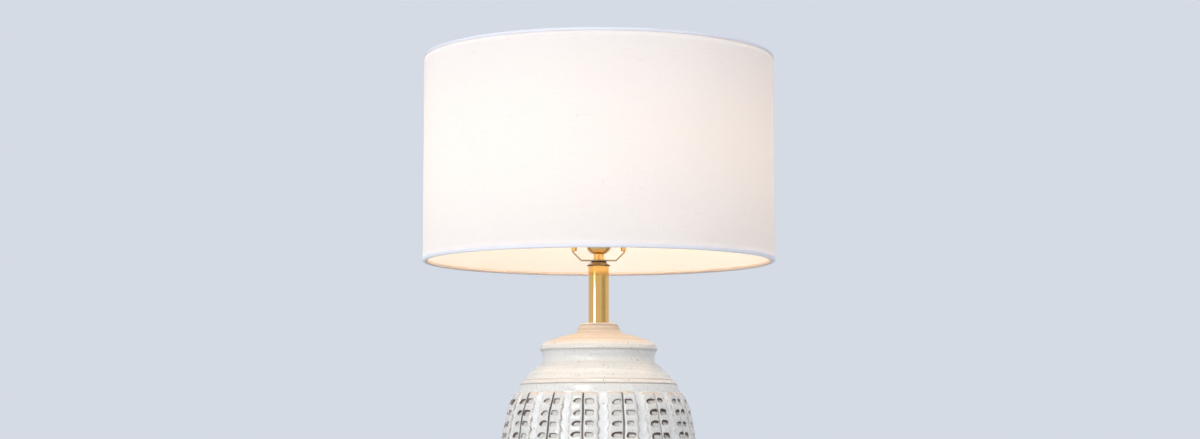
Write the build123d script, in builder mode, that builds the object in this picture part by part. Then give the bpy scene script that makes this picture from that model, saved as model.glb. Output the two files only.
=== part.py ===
"""Ceramic table lamp with a drum shade: stoneware body on a felt foot, brass neck, socket, harp, linen shade and finial.

Frame: +Z up, origin on the table under the middle of the foot, the harp in the XZ plane, the cord inlet at the back (+Y).
All lengths are in millimetres.
"""

import math
import os

from build123d import *

os.makedirs("parts", exist_ok=True)

# ---------------------------------------------------------------- driving dimensions
# foot and ceramic body
FELT_T = 3.0
FOOT_R, FOOT_IN_R = 77.5, 69.0
LEDGE_Z0, LEDGE_Z1, LEDGE_R = 15.0, 24.0, 46.0
COLLAR_Z = 404.0
TUBE_SEAT_Z, TUBE_SEAT_R = 401.0, 13.0
PIPE_HOLE_R = 6.5
INLET_Z, INLET_FACE_Y, INLET_SPOT_R, INLET_HOLE_R = 36.0, 75.5, 9.2, 6.3
RING_LINES = (332.5, 327.6, 113.5, 108.5)

# carved band: sixteen panels between shallow channels, each panel split by a scored line
CHANNEL_DEPTH, CHANNEL_ARC = 2.4, 5.4
SCORE_DEPTH, SCORE_ARC = 1.7, 1.0
LINE_START, LINE_PITCH = -76.4, 22.5  # degrees from the front towards +X
LINE_DRIFT = (-0.3, 0.4, 0.2, -0.9, 1.4, 3.2, 1.8, 0.0, 1.1, 0.9, 0.6, -1.0, 1.0, 0.9, -0.9, 0.3)  # hand-set, so a little uneven

# threaded lamp pipe and its clamp at the bottom
PIPE_R, PIPE_BORE_R, PIPE_Z0, PIPE_Z1 = 4.85, 3.2, 4.5, 489.5
ON_PIPE_R = 5.0
PLATE_R, PLATE_T = 66.0, 2.4
WASHER_R, WASHER_T = 12.0, 1.5
NUT_AF, NUT_T = 15.9, 4.5

# brass neck
TUBE_R, TUBE_WALL, TUBE_TOP_Z = 12.75, 1.0, 472.9
CAP_FLANGE_R, CAP_FLANGE_T, CAP_STEP_R, CAP_STEP_T = 14.2, 2.8, 9.2, 1.7
LOCKNUT_T = 2.2

# harp saddle, ferrules and harp
STRIP_T, STRIP_W = 1.3, 10.0
BEND_X, POST_X = 21.4, 30.4
WIRE_R = 2.0
POST_Z0, POST_Z1 = 491.6, 508.0
FERRULE_R, FERRULE_BORE_R = 3.4, 2.25
FERRULE_Z0, FERRULE_Z1 = 491.9, 507.4
HARP_HALF = 57.0

# socket
HUB_R, HUB_Z1 = 6.3, 487.8
CAP_R, CAP_WALL, CAP_TOP_Z = 17.1, 0.7, 511.0
SHELL_R, SHELL_WALL, SHELL_Z0, SHELL_Z1 = 16.2, 0.6, 505.0, 549.0
LINER_WALL = 0.6
KNOB_Z = 516.5
SHAFT_R = 1.8
SCREW_Z0, SCREW_Z1, SCREW_R = 526.6, 548.0, 13.3

# bulb
BULB_CAP_R, BULB_TIP_Z, BULB_TOP_Z, BULB_R = 13.0, 527.4, 638.0, 30.0

# shade
SHADE_R, SHADE_Z0, SHADE_Z1 = 215.9, 477.8, 731.8
LINEN_T, LINER_T = 0.5, 1.0
RING_WIRE_R, RING_R = 1.5, 212.6
TRIM_OUT, TRIM_T, TRIM_H, TRIM_IN_R = 216.5, 0.5, 4.0, 209.9
FITTER_DROP, FITTER_T, FITTER_R, FITTER_HOLE_R = 14.6, 1.6, 16.0, 3.4
ARM_R = 1.4

# stud and finial
STUD_R, STUD_LEN = 3.175, 12.5
FINIAL_H, FINIAL_BALL_R = 27.0, 9.6

# derived levels
plate_z1 = LEDGE_Z0
plate_z0 = plate_z1 - PLATE_T
washer_z0 = plate_z0 - WASHER_T
nut_z0 = washer_z0 - NUT_T
cap_flange_z1 = TUBE_TOP_Z + CAP_FLANGE_T
cap_step_z1 = cap_flange_z1 + CAP_STEP_T
locknut_z1 = cap_step_z1 + LOCKNUT_T
saddle_z1 = locknut_z1 + STRIP_T
fitter_z1 = SHADE_Z1 - FITTER_DROP
fitter_z0 = fitter_z1 - FITTER_T
harp_top_z = fitter_z0 - 1.5  # top of the flattened harp crown
score_lines = [LINE_START + LINE_PITCH * k + drift for k, drift in enumerate(LINE_DRIFT)]
channel_lines = [(a + b) / 2 for a, b in zip(score_lines, score_lines[1:] + [score_lines[0] + 360.0])]

# outer outline of the clay body, radius and height, from the foot up
LOWER_OUT = [
    (FOOT_R, 14.0), (76.2, 20.0), (76.6, 27.0), (79.0, 37.0), (84.4, 52.0), (92.2, 69.0), (101.0, 88.0),
    (109.0, 108.5), (115.4, 131.0), (119.8, 155.0), (122.4, 180.0), (123.2, 205.0), (122.5, 228.0),
    (120.8, 246.0), (118.5, 262.0), (115.2, 279.3), (111.9, 296.0), (108.2, 306.5), (103.6, 315.0),
]
SHOULDER_OUT = [(99.9, 319.0), (98.0, 323.6), (96.2, 328.2), (90.4, 334.6), (84.9, 340.8), (79.8, 345.8), (74.9, 350.6)]
WAIST_OUT = [(74.9, 350.6), (71.4, 353.4), (69.4, 356.6), (68.8, 360.2), (69.4, 364.0), (70.7, 368.4)]
FLANGE_OUT = [(72.3, 370.6), (72.4, 372.6), (70.9, 375.3), (68.4, 377.8), (64.6, 380.1), (57.6, 382.8), (48.0, 386.4), (36.6, 389.9)]
COLLAR_OUT = [(36.6, 389.9), (30.4, 391.4), (27.4, 393.2), (26.0, 395.6), (25.3, 398.0), (24.6, 399.9)]
BAND_OUT = [
    (111.9, 117.6), (115.4, 131.0), (119.8, 155.0), (122.4, 180.0), (123.2, 205.0), (122.5, 228.0), (120.8, 246.0),
    (118.5, 262.0), (115.2, 279.3), (111.9, 296.0), (108.2, 306.5), (102.5, 316.2),
]
INNER = [
    (68.4, 27.0), (71.8, 38.0), (77.2, 53.0), (85.2, 71.0), (93.8, 90.0), (101.6, 110.0), (107.9, 132.0),
    (112.4, 156.0), (115.0, 180.0), (115.8, 205.0), (115.0, 228.0), (113.2, 246.0), (110.6, 262.0),
    (107.0, 279.3), (102.6, 295.0), (95.8, 308.0), (87.6, 323.0), (78.0, 335.0), (68.0, 345.5),
    (62.4, 353.5), (61.0, 361.0), (58.0, 369.0), (48.0, 376.5), (30.0, 382.5), (18.0, 384.5),
]

# ---------------------------------------------------------------- ceramic body and foot
# a slice just under the skin of the band, as deep as the tool goes and as wide as its stroke
with BuildPart() as channel_cut:
    with BuildSketch(Plane.XZ):
        with BuildLine():
            inner = [(r - CHANNEL_DEPTH, z) for r, z in BAND_OUT]
            Spline(*inner)
            Polyline(inner[-1], (108.0, 318.0), (132.0, 318.0), (132.0, 115.8), (118.0, 115.8), inner[0])
        make_face()
    revolve(axis=Axis.Z, revolution_arc=CHANNEL_ARC)

with BuildPart() as score_cut:
    with BuildSketch(Plane.XZ):
        with BuildLine():
            inner = [(r - SCORE_DEPTH, z) for r, z in BAND_OUT]
            Spline(*inner)
            Polyline(inner[-1], (108.0, 318.0), (132.0, 318.0), (132.0, 115.8), (118.0, 115.8), inner[0])
        make_face()
    revolve(axis=Axis.Z, revolution_arc=SCORE_ARC)

with BuildPart() as ceramic_body:
    with BuildSketch(Plane.XZ):
        with BuildLine():
            Polyline((FOOT_IN_R, FELT_T), (FOOT_R, FELT_T), LOWER_OUT[0])
            Spline(*LOWER_OUT)
            Line(LOWER_OUT[-1], SHOULDER_OUT[0])
            Spline(*SHOULDER_OUT)
            Spline(*WAIST_OUT)
            Line(WAIST_OUT[-1], FLANGE_OUT[0])
            Spline(*FLANGE_OUT)
            Spline(*COLLAR_OUT)
            ThreePointArc(COLLAR_OUT[-1], (22.7, 402.4), (19.6, COLLAR_Z))
            Polyline(
                (19.6, COLLAR_Z), (TUBE_SEAT_R, COLLAR_Z), (TUBE_SEAT_R, TUBE_SEAT_Z), (PIPE_HOLE_R, TUBE_SEAT_Z),
                (PIPE_HOLE_R, 384.5), INNER[-1],
            )
            Spline(*INNER[::-1])
            Polyline(INNER[0], (LEDGE_R, LEDGE_Z1), (LEDGE_R, LEDGE_Z0), (FOOT_IN_R, LEDGE_Z0), (FOOT_IN_R, FELT_T))
        make_face()
    revolve(axis=Axis.Z)
    # incised rings above and below the carved band, V-cut by hand on the wheel
    with BuildSketch(Plane.XZ):
        for z, r in zip(RING_LINES, (92.4, 96.5, 110.6, 109.0)):
            with BuildLine():
                Polyline((r + 3.0, z + 1.9), (r - 0.9, z), (r + 3.0, z - 1.9), close=True)
            make_face()
    revolve(axis=Axis.Z, mode=Mode.SUBTRACT)
    # the carved band's channels and scored lines
    with Locations(*[Location((0, 0, 0), (0, 0, turn - 90.0 - CHANNEL_ARC / 2)) for turn in channel_lines]):
        add(channel_cut.part, mode=Mode.SUBTRACT)
    with Locations(*[Location((0, 0, 0), (0, 0, turn - 90.0 - SCORE_ARC / 2)) for turn in score_lines]):
        add(score_cut.part, mode=Mode.SUBTRACT)
    # cord inlet at the back: a flat spot and a hole through the wall
    with BuildSketch(Plane.XZ.offset(-INLET_FACE_Y)):
        with Locations((0, INLET_Z)):
            Circle(INLET_SPOT_R)
    extrude(amount=-20, mode=Mode.SUBTRACT)
    with BuildSketch(Plane.XZ.offset(-INLET_FACE_Y)):
        with Locations((0, INLET_Z)):
            Circle(INLET_HOLE_R)
    extrude(amount=25, mode=Mode.SUBTRACT)
ceramic_body.part.label = "ceramic_body"

with BuildPart() as foot_felt:
    with BuildSketch():
        Circle(FOOT_R - 0.6)
        Circle(FOOT_IN_R + 0.6, mode=Mode.SUBTRACT)
    extrude(amount=FELT_T)
foot_felt.part.label = "foot_felt"

with BuildPart() as cord_bushing:
    with BuildSketch(Plane.XZ.offset(-INLET_FACE_Y)):
        with Locations((0, INLET_Z)):
            Circle(8.5)
    extrude(amount=-2.0)
    fillet(cord_bushing.edges().filter_by(GeomType.CIRCLE).sort_by(Axis.Y)[-1], 1.2)
    with BuildSketch(Plane.XZ.offset(-INLET_FACE_Y)):
        with Locations((0, INLET_Z)):
            Circle(6.15)
    extrude(amount=7.5)
    with BuildSketch(Plane.XZ.offset(-INLET_FACE_Y - 2.0)):
        with Locations((0, INLET_Z)):
            Circle(4.0)
    extrude(amount=12, mode=Mode.SUBTRACT)
cord_bushing.part.label = "cord_bushing"

# ---------------------------------------------------------------- lamp pipe and its clamp
with BuildPart() as lamp_pipe:
    with BuildSketch(Plane.XY.offset(PIPE_Z0)):
        Circle(PIPE_R)
        Circle(PIPE_BORE_R, mode=Mode.SUBTRACT)
    extrude(amount=PIPE_Z1 - PIPE_Z0)
    chamfer(lamp_pipe.edges().filter_by(GeomType.CIRCLE).filter_by(lambda e: e.radius > 4), 0.5)
lamp_pipe.part.label = "lamp_pipe"

with BuildPart() as base_plate:
    with BuildSketch(Plane.XY.offset(plate_z0)):
        Circle(PLATE_R)
        Circle(ON_PIPE_R, mode=Mode.SUBTRACT)
        with PolarLocations(48.0, 4, start_angle=45):
            Circle(4.0, mode=Mode.SUBTRACT)
    extrude(amount=PLATE_T)
base_plate.part.label = "base_plate"

with BuildPart() as base_washer:
    with BuildSketch(Plane.XY.offset(washer_z0)):
        Circle(WASHER_R)
        Circle(ON_PIPE_R, mode=Mode.SUBTRACT)
    extrude(amount=WASHER_T)
base_washer.part.label = "base_washer"

with BuildPart() as base_nut:
    with BuildSketch(Plane.XY.offset(nut_z0)):
        RegularPolygon(radius=NUT_AF / 2, side_count=6, major_radius=False)
        Circle(ON_PIPE_R, mode=Mode.SUBTRACT)
    extrude(amount=NUT_T)
base_nut.part.label = "base_nut"

# ---------------------------------------------------------------- brass neck
with BuildPart() as neck_seat_ring:
    with BuildSketch(Plane.XY.offset(TUBE_SEAT_Z)):
        Circle(TUBE_R - TUBE_WALL - 0.15)
        Circle(ON_PIPE_R, mode=Mode.SUBTRACT)
    extrude(amount=4.0)
neck_seat_ring.part.label = "neck_seat_ring"

with BuildPart() as neck_tube:
    with BuildSketch(Plane.XY.offset(TUBE_SEAT_Z)):
        Circle(TUBE_R)
        Circle(TUBE_R - TUBE_WALL, mode=Mode.SUBTRACT)
    extrude(amount=TUBE_TOP_Z - TUBE_SEAT_Z)
neck_tube.part.label = "neck_tube"

with BuildPart() as neck_cap:
    with BuildSketch(Plane.XZ):
        with BuildLine():
            Polyline(
                (ON_PIPE_R, TUBE_TOP_Z - 4.0), (TUBE_R - TUBE_WALL - 0.15, TUBE_TOP_Z - 4.0),
                (TUBE_R - TUBE_WALL - 0.15, TUBE_TOP_Z), (CAP_FLANGE_R - 0.8, TUBE_TOP_Z),
            )
            ThreePointArc(
                (CAP_FLANGE_R - 0.8, TUBE_TOP_Z), (CAP_FLANGE_R, TUBE_TOP_Z + 0.95), (CAP_FLANGE_R - 0.8, TUBE_TOP_Z + 1.9)
            )
            Polyline(
                (CAP_FLANGE_R - 0.8, TUBE_TOP_Z + 1.9), (CAP_STEP_R + 0.6, cap_flange_z1 + 1.1), (CAP_STEP_R, cap_step_z1),
                (ON_PIPE_R, cap_step_z1), (ON_PIPE_R, TUBE_TOP_Z - 4.0),
            )
        make_face()
    revolve(axis=Axis.Z)
neck_cap.part.label = "neck_cap"

with BuildPart() as saddle_locknut:
    with BuildSketch(Plane.XY.offset(cap_step_z1)):
        RegularPolygon(radius=NUT_AF / 2, side_count=6, major_radius=False)
        Circle(ON_PIPE_R, mode=Mode.SUBTRACT)
    extrude(amount=LOCKNUT_T)
saddle_locknut.part.label = "saddle_locknut"

# ---------------------------------------------------------------- harp saddle
strip_mid_z = locknut_z1 + STRIP_T / 2
arm_x = POST_X + 1.0
arm_z = strip_mid_z + (arm_x - BEND_X)
with BuildPart() as harp_saddle:
    with BuildSketch(Plane.XZ.offset(-STRIP_W / 2)) as strip:
        with BuildLine() as strip_line:
            FilletPolyline(
                (-arm_x, POST_Z0), (-arm_x, arm_z), (-BEND_X, strip_mid_z), (BEND_X, strip_mid_z), (arm_x, arm_z), (arm_x, POST_Z0),
                radius=[0.9, 2.2, 2.2, 0.9],
            )
        trace(line_width=STRIP_T)
    extrude(amount=STRIP_W)
    # the strip is trimmed to a round eye about the pipe and tapers to the posts
    with BuildSketch(Plane.XY.offset(locknut_z1)):
        Circle(9.0)
    extrude(amount=STRIP_T)
    with BuildSketch(Plane.XY.offset(locknut_z1 - 1)):
        Circle(ON_PIPE_R)
    extrude(amount=STRIP_T + 2, mode=Mode.SUBTRACT)
    # half-round posts, closed by the harp's own half-round legs
    for side in (-1, 1):
        with BuildSketch(Plane.XY.offset(POST_Z0 - 1.2)):
            with Locations((side * POST_X, 0)):
                Circle(WIRE_R)
            with Locations((side * (POST_X - 5.0 + 0.1), 0)):
                Rectangle(10.0, 10.0, mode=Mode.SUBTRACT)
        extrude(amount=POST_Z1 - POST_Z0 + 1.2)
harp_saddle.part.label = "harp_saddle"

# ---------------------------------------------------------------- harp
crown = harp_top_z - WIRE_R - 0.4
pad_z0 = crown - WIRE_R - 0.4  # underside of the crown's pad, just below the wire


def rounded(points, radii):
    """Corner points with bend radii turned into line ends and arc middles, for a bent wire."""
    steps = []
    start = points[0]
    for before, corner, after, radius in zip(points, points[1:], points[2:], radii):
        c = Vector(*corner)
        u = (Vector(*before) - c).normalized()
        v = (Vector(*after) - c).normalized()
        half = math.acos(max(-1.0, min(1.0, u.dot(v)))) / 2
        reach = radius / math.tan(half)
        middle = c + (u + v).normalized() * (radius / math.sin(half) - radius)
        arc_from, arc_to = c + u * reach, c + v * reach
        steps.append((start, (arc_from.X, arc_from.Y), (middle.X, middle.Y), (arc_to.X, arc_to.Y)))
        start = (arc_to.X, arc_to.Y)
    return steps, start, points[-1]


bow_half = [(POST_X, POST_Z1 + 0.4), (POST_X, 536.0), (HARP_HALF, 598.0), (HARP_HALF, 657.0), (36.0, crown - 7.4), (11.0, crown)]
bow_steps, bow_last, bow_end = rounded([(-x, z) for x, z in bow_half] + bow_half[::-1], [70, 140, 100, 38, 18, 18, 38, 100, 140, 70])
with BuildPart() as harp_bow:
    with BuildLine(Plane.XZ) as bow_path:
        for line_from, arc_from, arc_mid, arc_to in bow_steps:
            Line(line_from, arc_from)
            ThreePointArc(arc_from, arc_mid, arc_to)
        Line(bow_last, bow_end)
    with BuildSketch(Plane(origin=bow_path.line @ 0, z_dir=bow_path.line % 0)):
        Circle(WIRE_R)
    sweep()
    # half-round legs beside the saddle posts
    for side in (-1, 1):
        with BuildSketch(Plane.XY.offset(496.6)):
            with Locations((side * POST_X, 0)):
                Circle(WIRE_R - 0.1)
            with Locations((side * (POST_X + 5.0 - 0.1), 0)):
                Rectangle(10.0, 10.0, mode=Mode.SUBTRACT)
        extrude(amount=POST_Z1 + 1.6 - 496.6)
    # flattened crown with the rivet hole for the stud
    with BuildSketch(Plane.XY.offset(pad_z0)):
        SlotOverall(20.0, 8.0)
    extrude(amount=harp_top_z - pad_z0)
    with BuildSketch(Plane.XY.offset(crown - 6)):
        Circle(1.7)
    extrude(amount=20, mode=Mode.SUBTRACT)
harp_bow.part.label = "harp_bow"

with BuildPart() as harp_stud:
    with BuildSketch(Plane.XZ):
        with BuildLine():
            Polyline(
                (0, pad_z0 - 1.0), (2.6, pad_z0 - 1.0), (2.6, pad_z0), (1.65, pad_z0), (1.65, harp_top_z), (6.5, harp_top_z),
                (6.5, fitter_z0), (STUD_R, fitter_z0), (STUD_R, fitter_z0 + STUD_LEN - 0.6), (STUD_R - 0.6, fitter_z0 + STUD_LEN),
                (0, fitter_z0 + STUD_LEN), close=True,
            )
        make_face()
    revolve(axis=Axis.Z)
harp_stud.part.label = "harp_stud"

with BuildPart() as harp_ferrule_left:
    with BuildSketch(Plane.XY.offset(FERRULE_Z0)):
        with Locations((-POST_X, 0)):
            Circle(FERRULE_R)
            Circle(FERRULE_BORE_R, mode=Mode.SUBTRACT)
    extrude(amount=FERRULE_Z1 - FERRULE_Z0)
    fillet(harp_ferrule_left.edges().filter_by(GeomType.CIRCLE).filter_by(lambda e: e.radius > 3), 0.5)
harp_ferrule_left.part.label = "harp_ferrule_left"

with BuildPart() as harp_ferrule_right:
    with BuildSketch(Plane.XY.offset(FERRULE_Z0)):
        with Locations((POST_X, 0)):
            Circle(FERRULE_R)
            Circle(FERRULE_BORE_R, mode=Mode.SUBTRACT)
    extrude(amount=FERRULE_Z1 - FERRULE_Z0)
    fillet(harp_ferrule_right.edges().filter_by(GeomType.CIRCLE).filter_by(lambda e: e.radius > 3), 0.5)
harp_ferrule_right.part.label = "harp_ferrule_right"

# ---------------------------------------------------------------- socket
CAP_OUT = [(HUB_R, HUB_Z1), (9.4, 489.2), (11.9, 491.3), (14.7, 495.4), (16.2, 500.0), (CAP_R, 506.0)]
CAP_IN = [(r - 0.55, z + 0.75) for r, z in CAP_OUT[1:-1]]
with BuildPart() as socket_cap:
    with BuildSketch(Plane.XZ):
        with BuildLine():
            Polyline((PIPE_R + 0.1, saddle_z1), (HUB_R, saddle_z1), CAP_OUT[0])
            Spline(*CAP_OUT)
            Polyline(CAP_OUT[-1], (CAP_R, CAP_TOP_Z), (CAP_R - CAP_WALL, CAP_TOP_Z), (CAP_R - CAP_WALL, 506.4))
            Spline((CAP_R - CAP_WALL, 506.4), *CAP_IN[::-1])
            Polyline(CAP_IN[0], (PIPE_R + 0.1, CAP_IN[0][1]), (PIPE_R + 0.1, saddle_z1))
        make_face()
    revolve(axis=Axis.Z)
    # set screw hole through the hub
    with BuildSketch(Plane.XZ.offset(0)):
        with Locations((0, saddle_z1 + 3.4)):
            Circle(1.3)
    extrude(amount=-10, mode=Mode.SUBTRACT)
socket_cap.part.label = "socket_cap"

with BuildPart() as socket_set_screw:
    with BuildSketch(Plane.XZ.offset(-(PIPE_R + 0.15))):
        with Locations((0, saddle_z1 + 3.4)):
            Circle(1.2)
    extrude(amount=-2.6)
    with BuildSketch(Plane.XZ.offset(-(HUB_R + 0.5))):
        with Locations((0, saddle_z1 + 3.4)):
            Circle(2.0)
    extrude(amount=-1.4)
    with BuildSketch(Plane.XZ.offset(-(HUB_R + 1.3))):
        with Locations((0, saddle_z1 + 3.4)):
            Rectangle(5.0, 0.5)
    extrude(amount=-1.0, mode=Mode.SUBTRACT)
socket_set_screw.part.label = "socket_set_screw"

liner_out_r = CAP_R - CAP_WALL - 0.9
with BuildPart() as cap_insulator:
    with BuildSketch(Plane.XZ):
        with BuildLine():
            Polyline(
                (6.4, 491.4), (9.2, 491.4), (12.2, 494.9), (14.2, 499.6), (14.9, 504.0), (14.9, 504.8), (14.2, 504.8), (13.5, 500.0),
                (11.6, 495.4), (8.9, 492.2), (6.4, 492.2), close=True,
            )
        make_face()
    revolve(axis=Axis.Z)
cap_insulator.part.label = "cap_insulator"

with BuildPart() as socket_shell:
    with BuildSketch(Plane.XZ):
        with BuildLine():
            Polyline(
                (SHELL_R - SHELL_WALL, SHELL_Z0), (SHELL_R, SHELL_Z0), (SHELL_R, 512.2), (SHELL_R + 0.7, 513.0), (SHELL_R + 0.7, 514.2),
                (SHELL_R, 515.0), (SHELL_R, SHELL_Z1 - 2.2), (SHELL_R + 0.6, SHELL_Z1 - 1.4), (SHELL_R + 0.6, SHELL_Z1 - 0.4),
                (SHELL_R, SHELL_Z1), (SHELL_R - SHELL_WALL, SHELL_Z1), close=True,
            )
        make_face()
    revolve(axis=Axis.Z)
    with BuildSketch(Plane.XZ):
        with Locations((0, KNOB_Z)):
            Circle(2.6)
    extrude(amount=30, mode=Mode.SUBTRACT)
socket_shell.part.label = "socket_shell"

shell_liner_r = SHELL_R - SHELL_WALL - 0.1
with BuildPart() as shell_insulator:
    with BuildSketch(Plane.XY.offset(SHELL_Z0 + 0.4)):
        Circle(shell_liner_r)
        Circle(shell_liner_r - LINER_WALL, mode=Mode.SUBTRACT)
    extrude(amount=SHELL_Z1 - SHELL_Z0 - 0.2)
    with BuildSketch(Plane.XZ):
        with Locations((0, KNOB_Z)):
            Circle(2.9)
    extrude(amount=30, mode=Mode.SUBTRACT)
shell_insulator.part.label = "shell_insulator"

body_r = shell_liner_r - LINER_WALL - 0.15
with BuildPart() as socket_interior:
    with BuildSketch(Plane.XY.offset(506.4)):
        Circle(body_r)
        for side in (-1, 1):
            with Locations((side * (10.8 + 6.0), 0)):
                Rectangle(12.0, 13.0, mode=Mode.SUBTRACT)
    extrude(amount=7.6)
    with BuildSketch(Plane.XY.offset(514.0)):
        Circle(body_r)
    extrude(amount=SCREW_Z0 - 514.0)
    # blind bore of the rotary switch, from the front
    with BuildSketch(Plane.XZ.offset(4.0)):
        with Locations((0, KNOB_Z)):
            Circle(SHAFT_R + 0.06)
    extrude(amount=20, mode=Mode.SUBTRACT)
    # terminal screw holes
    for side in (-1, 1):
        with BuildSketch(Plane.YZ.offset(side * 6.0)):
            with Locations((0, 510.2)):
                Circle(1.6)
        extrude(amount=side * 10, mode=Mode.SUBTRACT)
    # seat of the centre contact
    with BuildSketch(Plane.XY.offset(SCREW_Z0 - 1.2)):
        Rectangle(6.4, 20.4)
    extrude(amount=5, mode=Mode.SUBTRACT)
socket_interior.part.label = "socket_interior"

with BuildPart() as terminal_screws:
    for side in (-1, 1):
        with BuildSketch(Plane.YZ.offset(side * 6.3)):
            with Locations((0, 510.2)):
                Circle(1.5)
        extrude(amount=side * 5.2)
        with BuildSketch(Plane.YZ.offset(side * 11.0)):
            with Locations((0, 510.2)):
                Circle(3.0)
        extrude(amount=side * 2.0)
        with BuildSketch(Plane.YZ.offset(side * 12.3)):
            with Locations((0, 510.2)):
                Rectangle(8.0, 0.8)
        extrude(amount=side * 1.2, mode=Mode.SUBTRACT)
terminal_screws.part.label = "terminal_screws"

with BuildPart() as screw_shell:
    with BuildSketch(Plane.XY.offset(SCREW_Z0)):
        Circle(SCREW_R + 0.5)
        Circle(SCREW_R, mode=Mode.SUBTRACT)
    extrude(amount=SCREW_Z1 - SCREW_Z0)
screw_shell.part.label = "screw_shell"

with BuildPart() as centre_contact:
    with BuildSketch(Plane.YZ.offset(-3.0)):
        with BuildLine():
            Polyline(
                (-10.0, SCREW_Z0 - 1.1), (9.0, SCREW_Z0 - 1.1), (9.0, SCREW_Z0 - 0.5), (-4.0, SCREW_Z0 - 0.5), (2.5, SCREW_Z0 + 0.5),
                (2.5, SCREW_Z0 + 0.7), (-4.5, SCREW_Z0 + 0.0), (-10.0, SCREW_Z0 - 0.5), close=True,
            )
        make_face()
    extrude(amount=6.0)
centre_contact.part.label = "centre_contact"

with BuildPart() as switch_shaft:
    with BuildSketch(Plane.XZ.offset(4.3)):
        with Locations((0, KNOB_Z)):
            Circle(SHAFT_R)
    extrude(amount=24.7)
switch_shaft.part.label = "switch_shaft"

with BuildPart() as switch_knob:
    with BuildSketch(Plane.XZ.offset(20.0)):
        with Locations((0, KNOB_Z)):
            Circle(4.2)
    extrude(amount=3.0)
    with BuildSketch(Plane.XZ.offset(23.0)):
        with Locations((0, KNOB_Z)):
            Circle(6.6)
            with PolarLocations(7.0, 14):
                Circle(0.85, mode=Mode.SUBTRACT)
    extrude(amount=11.0, taper=3)
    fillet(switch_knob.faces().sort_by(Axis.Y)[0].outer_wire().edges(), 0.35)
    with BuildSketch(Plane.XZ.offset(20.0)):
        with Locations((0, KNOB_Z)):
            Circle(SHAFT_R + 0.02)
    extrude(amount=9.1, mode=Mode.SUBTRACT)
switch_knob.part.label = "switch_knob"

# ---------------------------------------------------------------- bulb
GLASS_T = 0.9
GLASS = [
    (12.2, 551.4), (12.9, 556.0), (15.2, 565.0), (20.0, 577.0), (25.6, 589.0), (29.2, 601.0), (BULB_R, 609.5), (28.6, 620.0),
    (23.4, 630.0), (14.0, 636.2), (0.0, BULB_TOP_Z),
]
GLASS_IN = [(r - GLASS_T, z) for r, z in GLASS[:8]] + [(22.7, 629.3), (13.5, 635.3), (0.0, BULB_TOP_Z - GLASS_T)]
with BuildPart() as bulb_glass:
    with BuildSketch(Plane.XZ):
        with BuildLine():
            Spline(*GLASS, tangents=[(0.08, 1), (-1, 0)])
            Line(GLASS[-1], GLASS_IN[-1])
            Spline(*GLASS_IN, tangents=[(0.08, 1), (-1, 0)])
            Line(GLASS_IN[0], GLASS[0])
        make_face()
    revolve(axis=Axis.Z)
bulb_glass.part.label = "bulb_glass"

with BuildPart() as bulb_cap:
    with BuildSketch(Plane.XZ):
        with BuildLine():
            Polyline(
                (0, 530.6), (9.6, 530.6), (BULB_CAP_R, 533.4), (BULB_CAP_R, 549.0), (13.6, 549.6), (13.6, 551.4), (0, 551.4), close=True,
            )
        make_face()
    revolve(axis=Axis.Z)
bulb_cap.part.label = "bulb_cap"

with BuildPart() as bulb_contact:
    with BuildSketch(Plane.XZ):
        with BuildLine():
            Polyline((0, BULB_TIP_Z), (3.0, BULB_TIP_Z), (4.8, BULB_TIP_Z + 1.0), (9.0, BULB_TIP_Z + 2.8), (9.0, 530.6), (0, 530.6), close=True)
        make_face()
    revolve(axis=Axis.Z)
bulb_contact.part.label = "bulb_contact"

# ---------------------------------------------------------------- shade
liner_r = SHADE_R - LINEN_T - 0.1
with BuildPart() as shade_linen:
    with BuildSketch(Plane.XY.offset(SHADE_Z0 + 0.6)):
        Circle(SHADE_R)
        Circle(SHADE_R - LINEN_T, mode=Mode.SUBTRACT)
    extrude(amount=SHADE_Z1 - SHADE_Z0 - 1.2)
shade_linen.part.label = "shade_linen"

with BuildPart() as shade_liner:
    with BuildSketch(Plane.XY.offset(SHADE_Z0 + 0.6)):
        Circle(liner_r)
        Circle(liner_r - LINER_T, mode=Mode.SUBTRACT)
    extrude(amount=SHADE_Z1 - SHADE_Z0 - 1.2)
shade_liner.part.label = "shade_liner"

ring_z1 = SHADE_Z1 - 0.6 - RING_WIRE_R
ring_z0 = SHADE_Z0 + 0.6 + RING_WIRE_R
with BuildPart() as shade_top_ring:
    with BuildSketch(Plane.XZ):
        with Locations((RING_R, ring_z1)):
            Circle(RING_WIRE_R)
    revolve(axis=Axis.Z)
shade_top_ring.part.label = "shade_top_ring"

with BuildPart() as shade_bottom_ring:
    with BuildSketch(Plane.XZ):
        with Locations((RING_R, ring_z0)):
            Circle(RING_WIRE_R)
    revolve(axis=Axis.Z)
shade_bottom_ring.part.label = "shade_bottom_ring"

# three arms from the top ring down to the washer that sits on the harp
arm_steps, arm_last, arm_end = rounded(
    [(RING_R - RING_WIRE_R - 0.05, ring_z1), (188.0, ring_z1 - 1.2), (62.0, fitter_z1 + 0.9), (11.5, fitter_z1 + 0.4)], [60, 40]
)
with BuildPart() as shade_spider:
    with BuildSketch(Plane.XY.offset(fitter_z0)):
        Circle(FITTER_R)
        Circle(FITTER_HOLE_R, mode=Mode.SUBTRACT)
    extrude(amount=FITTER_T)
    for turn in (90, 210, 330):
        arm_plane = Plane(origin=(0, 0, 0), x_dir=(math.cos(math.radians(turn)), math.sin(math.radians(turn)), 0), z_dir=(math.sin(math.radians(turn)), -math.cos(math.radians(turn)), 0))
        with BuildLine(arm_plane) as arm:
            for line_from, arc_from, arc_mid, arc_to in arm_steps:
                Line(line_from, arc_from)
                ThreePointArc(arc_from, arc_mid, arc_to)
            Line(arm_last, arm_end)
        with BuildSketch(Plane(origin=arm.line @ 0, z_dir=arm.line % 0)):
            Circle(ARM_R)
        sweep()
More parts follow.
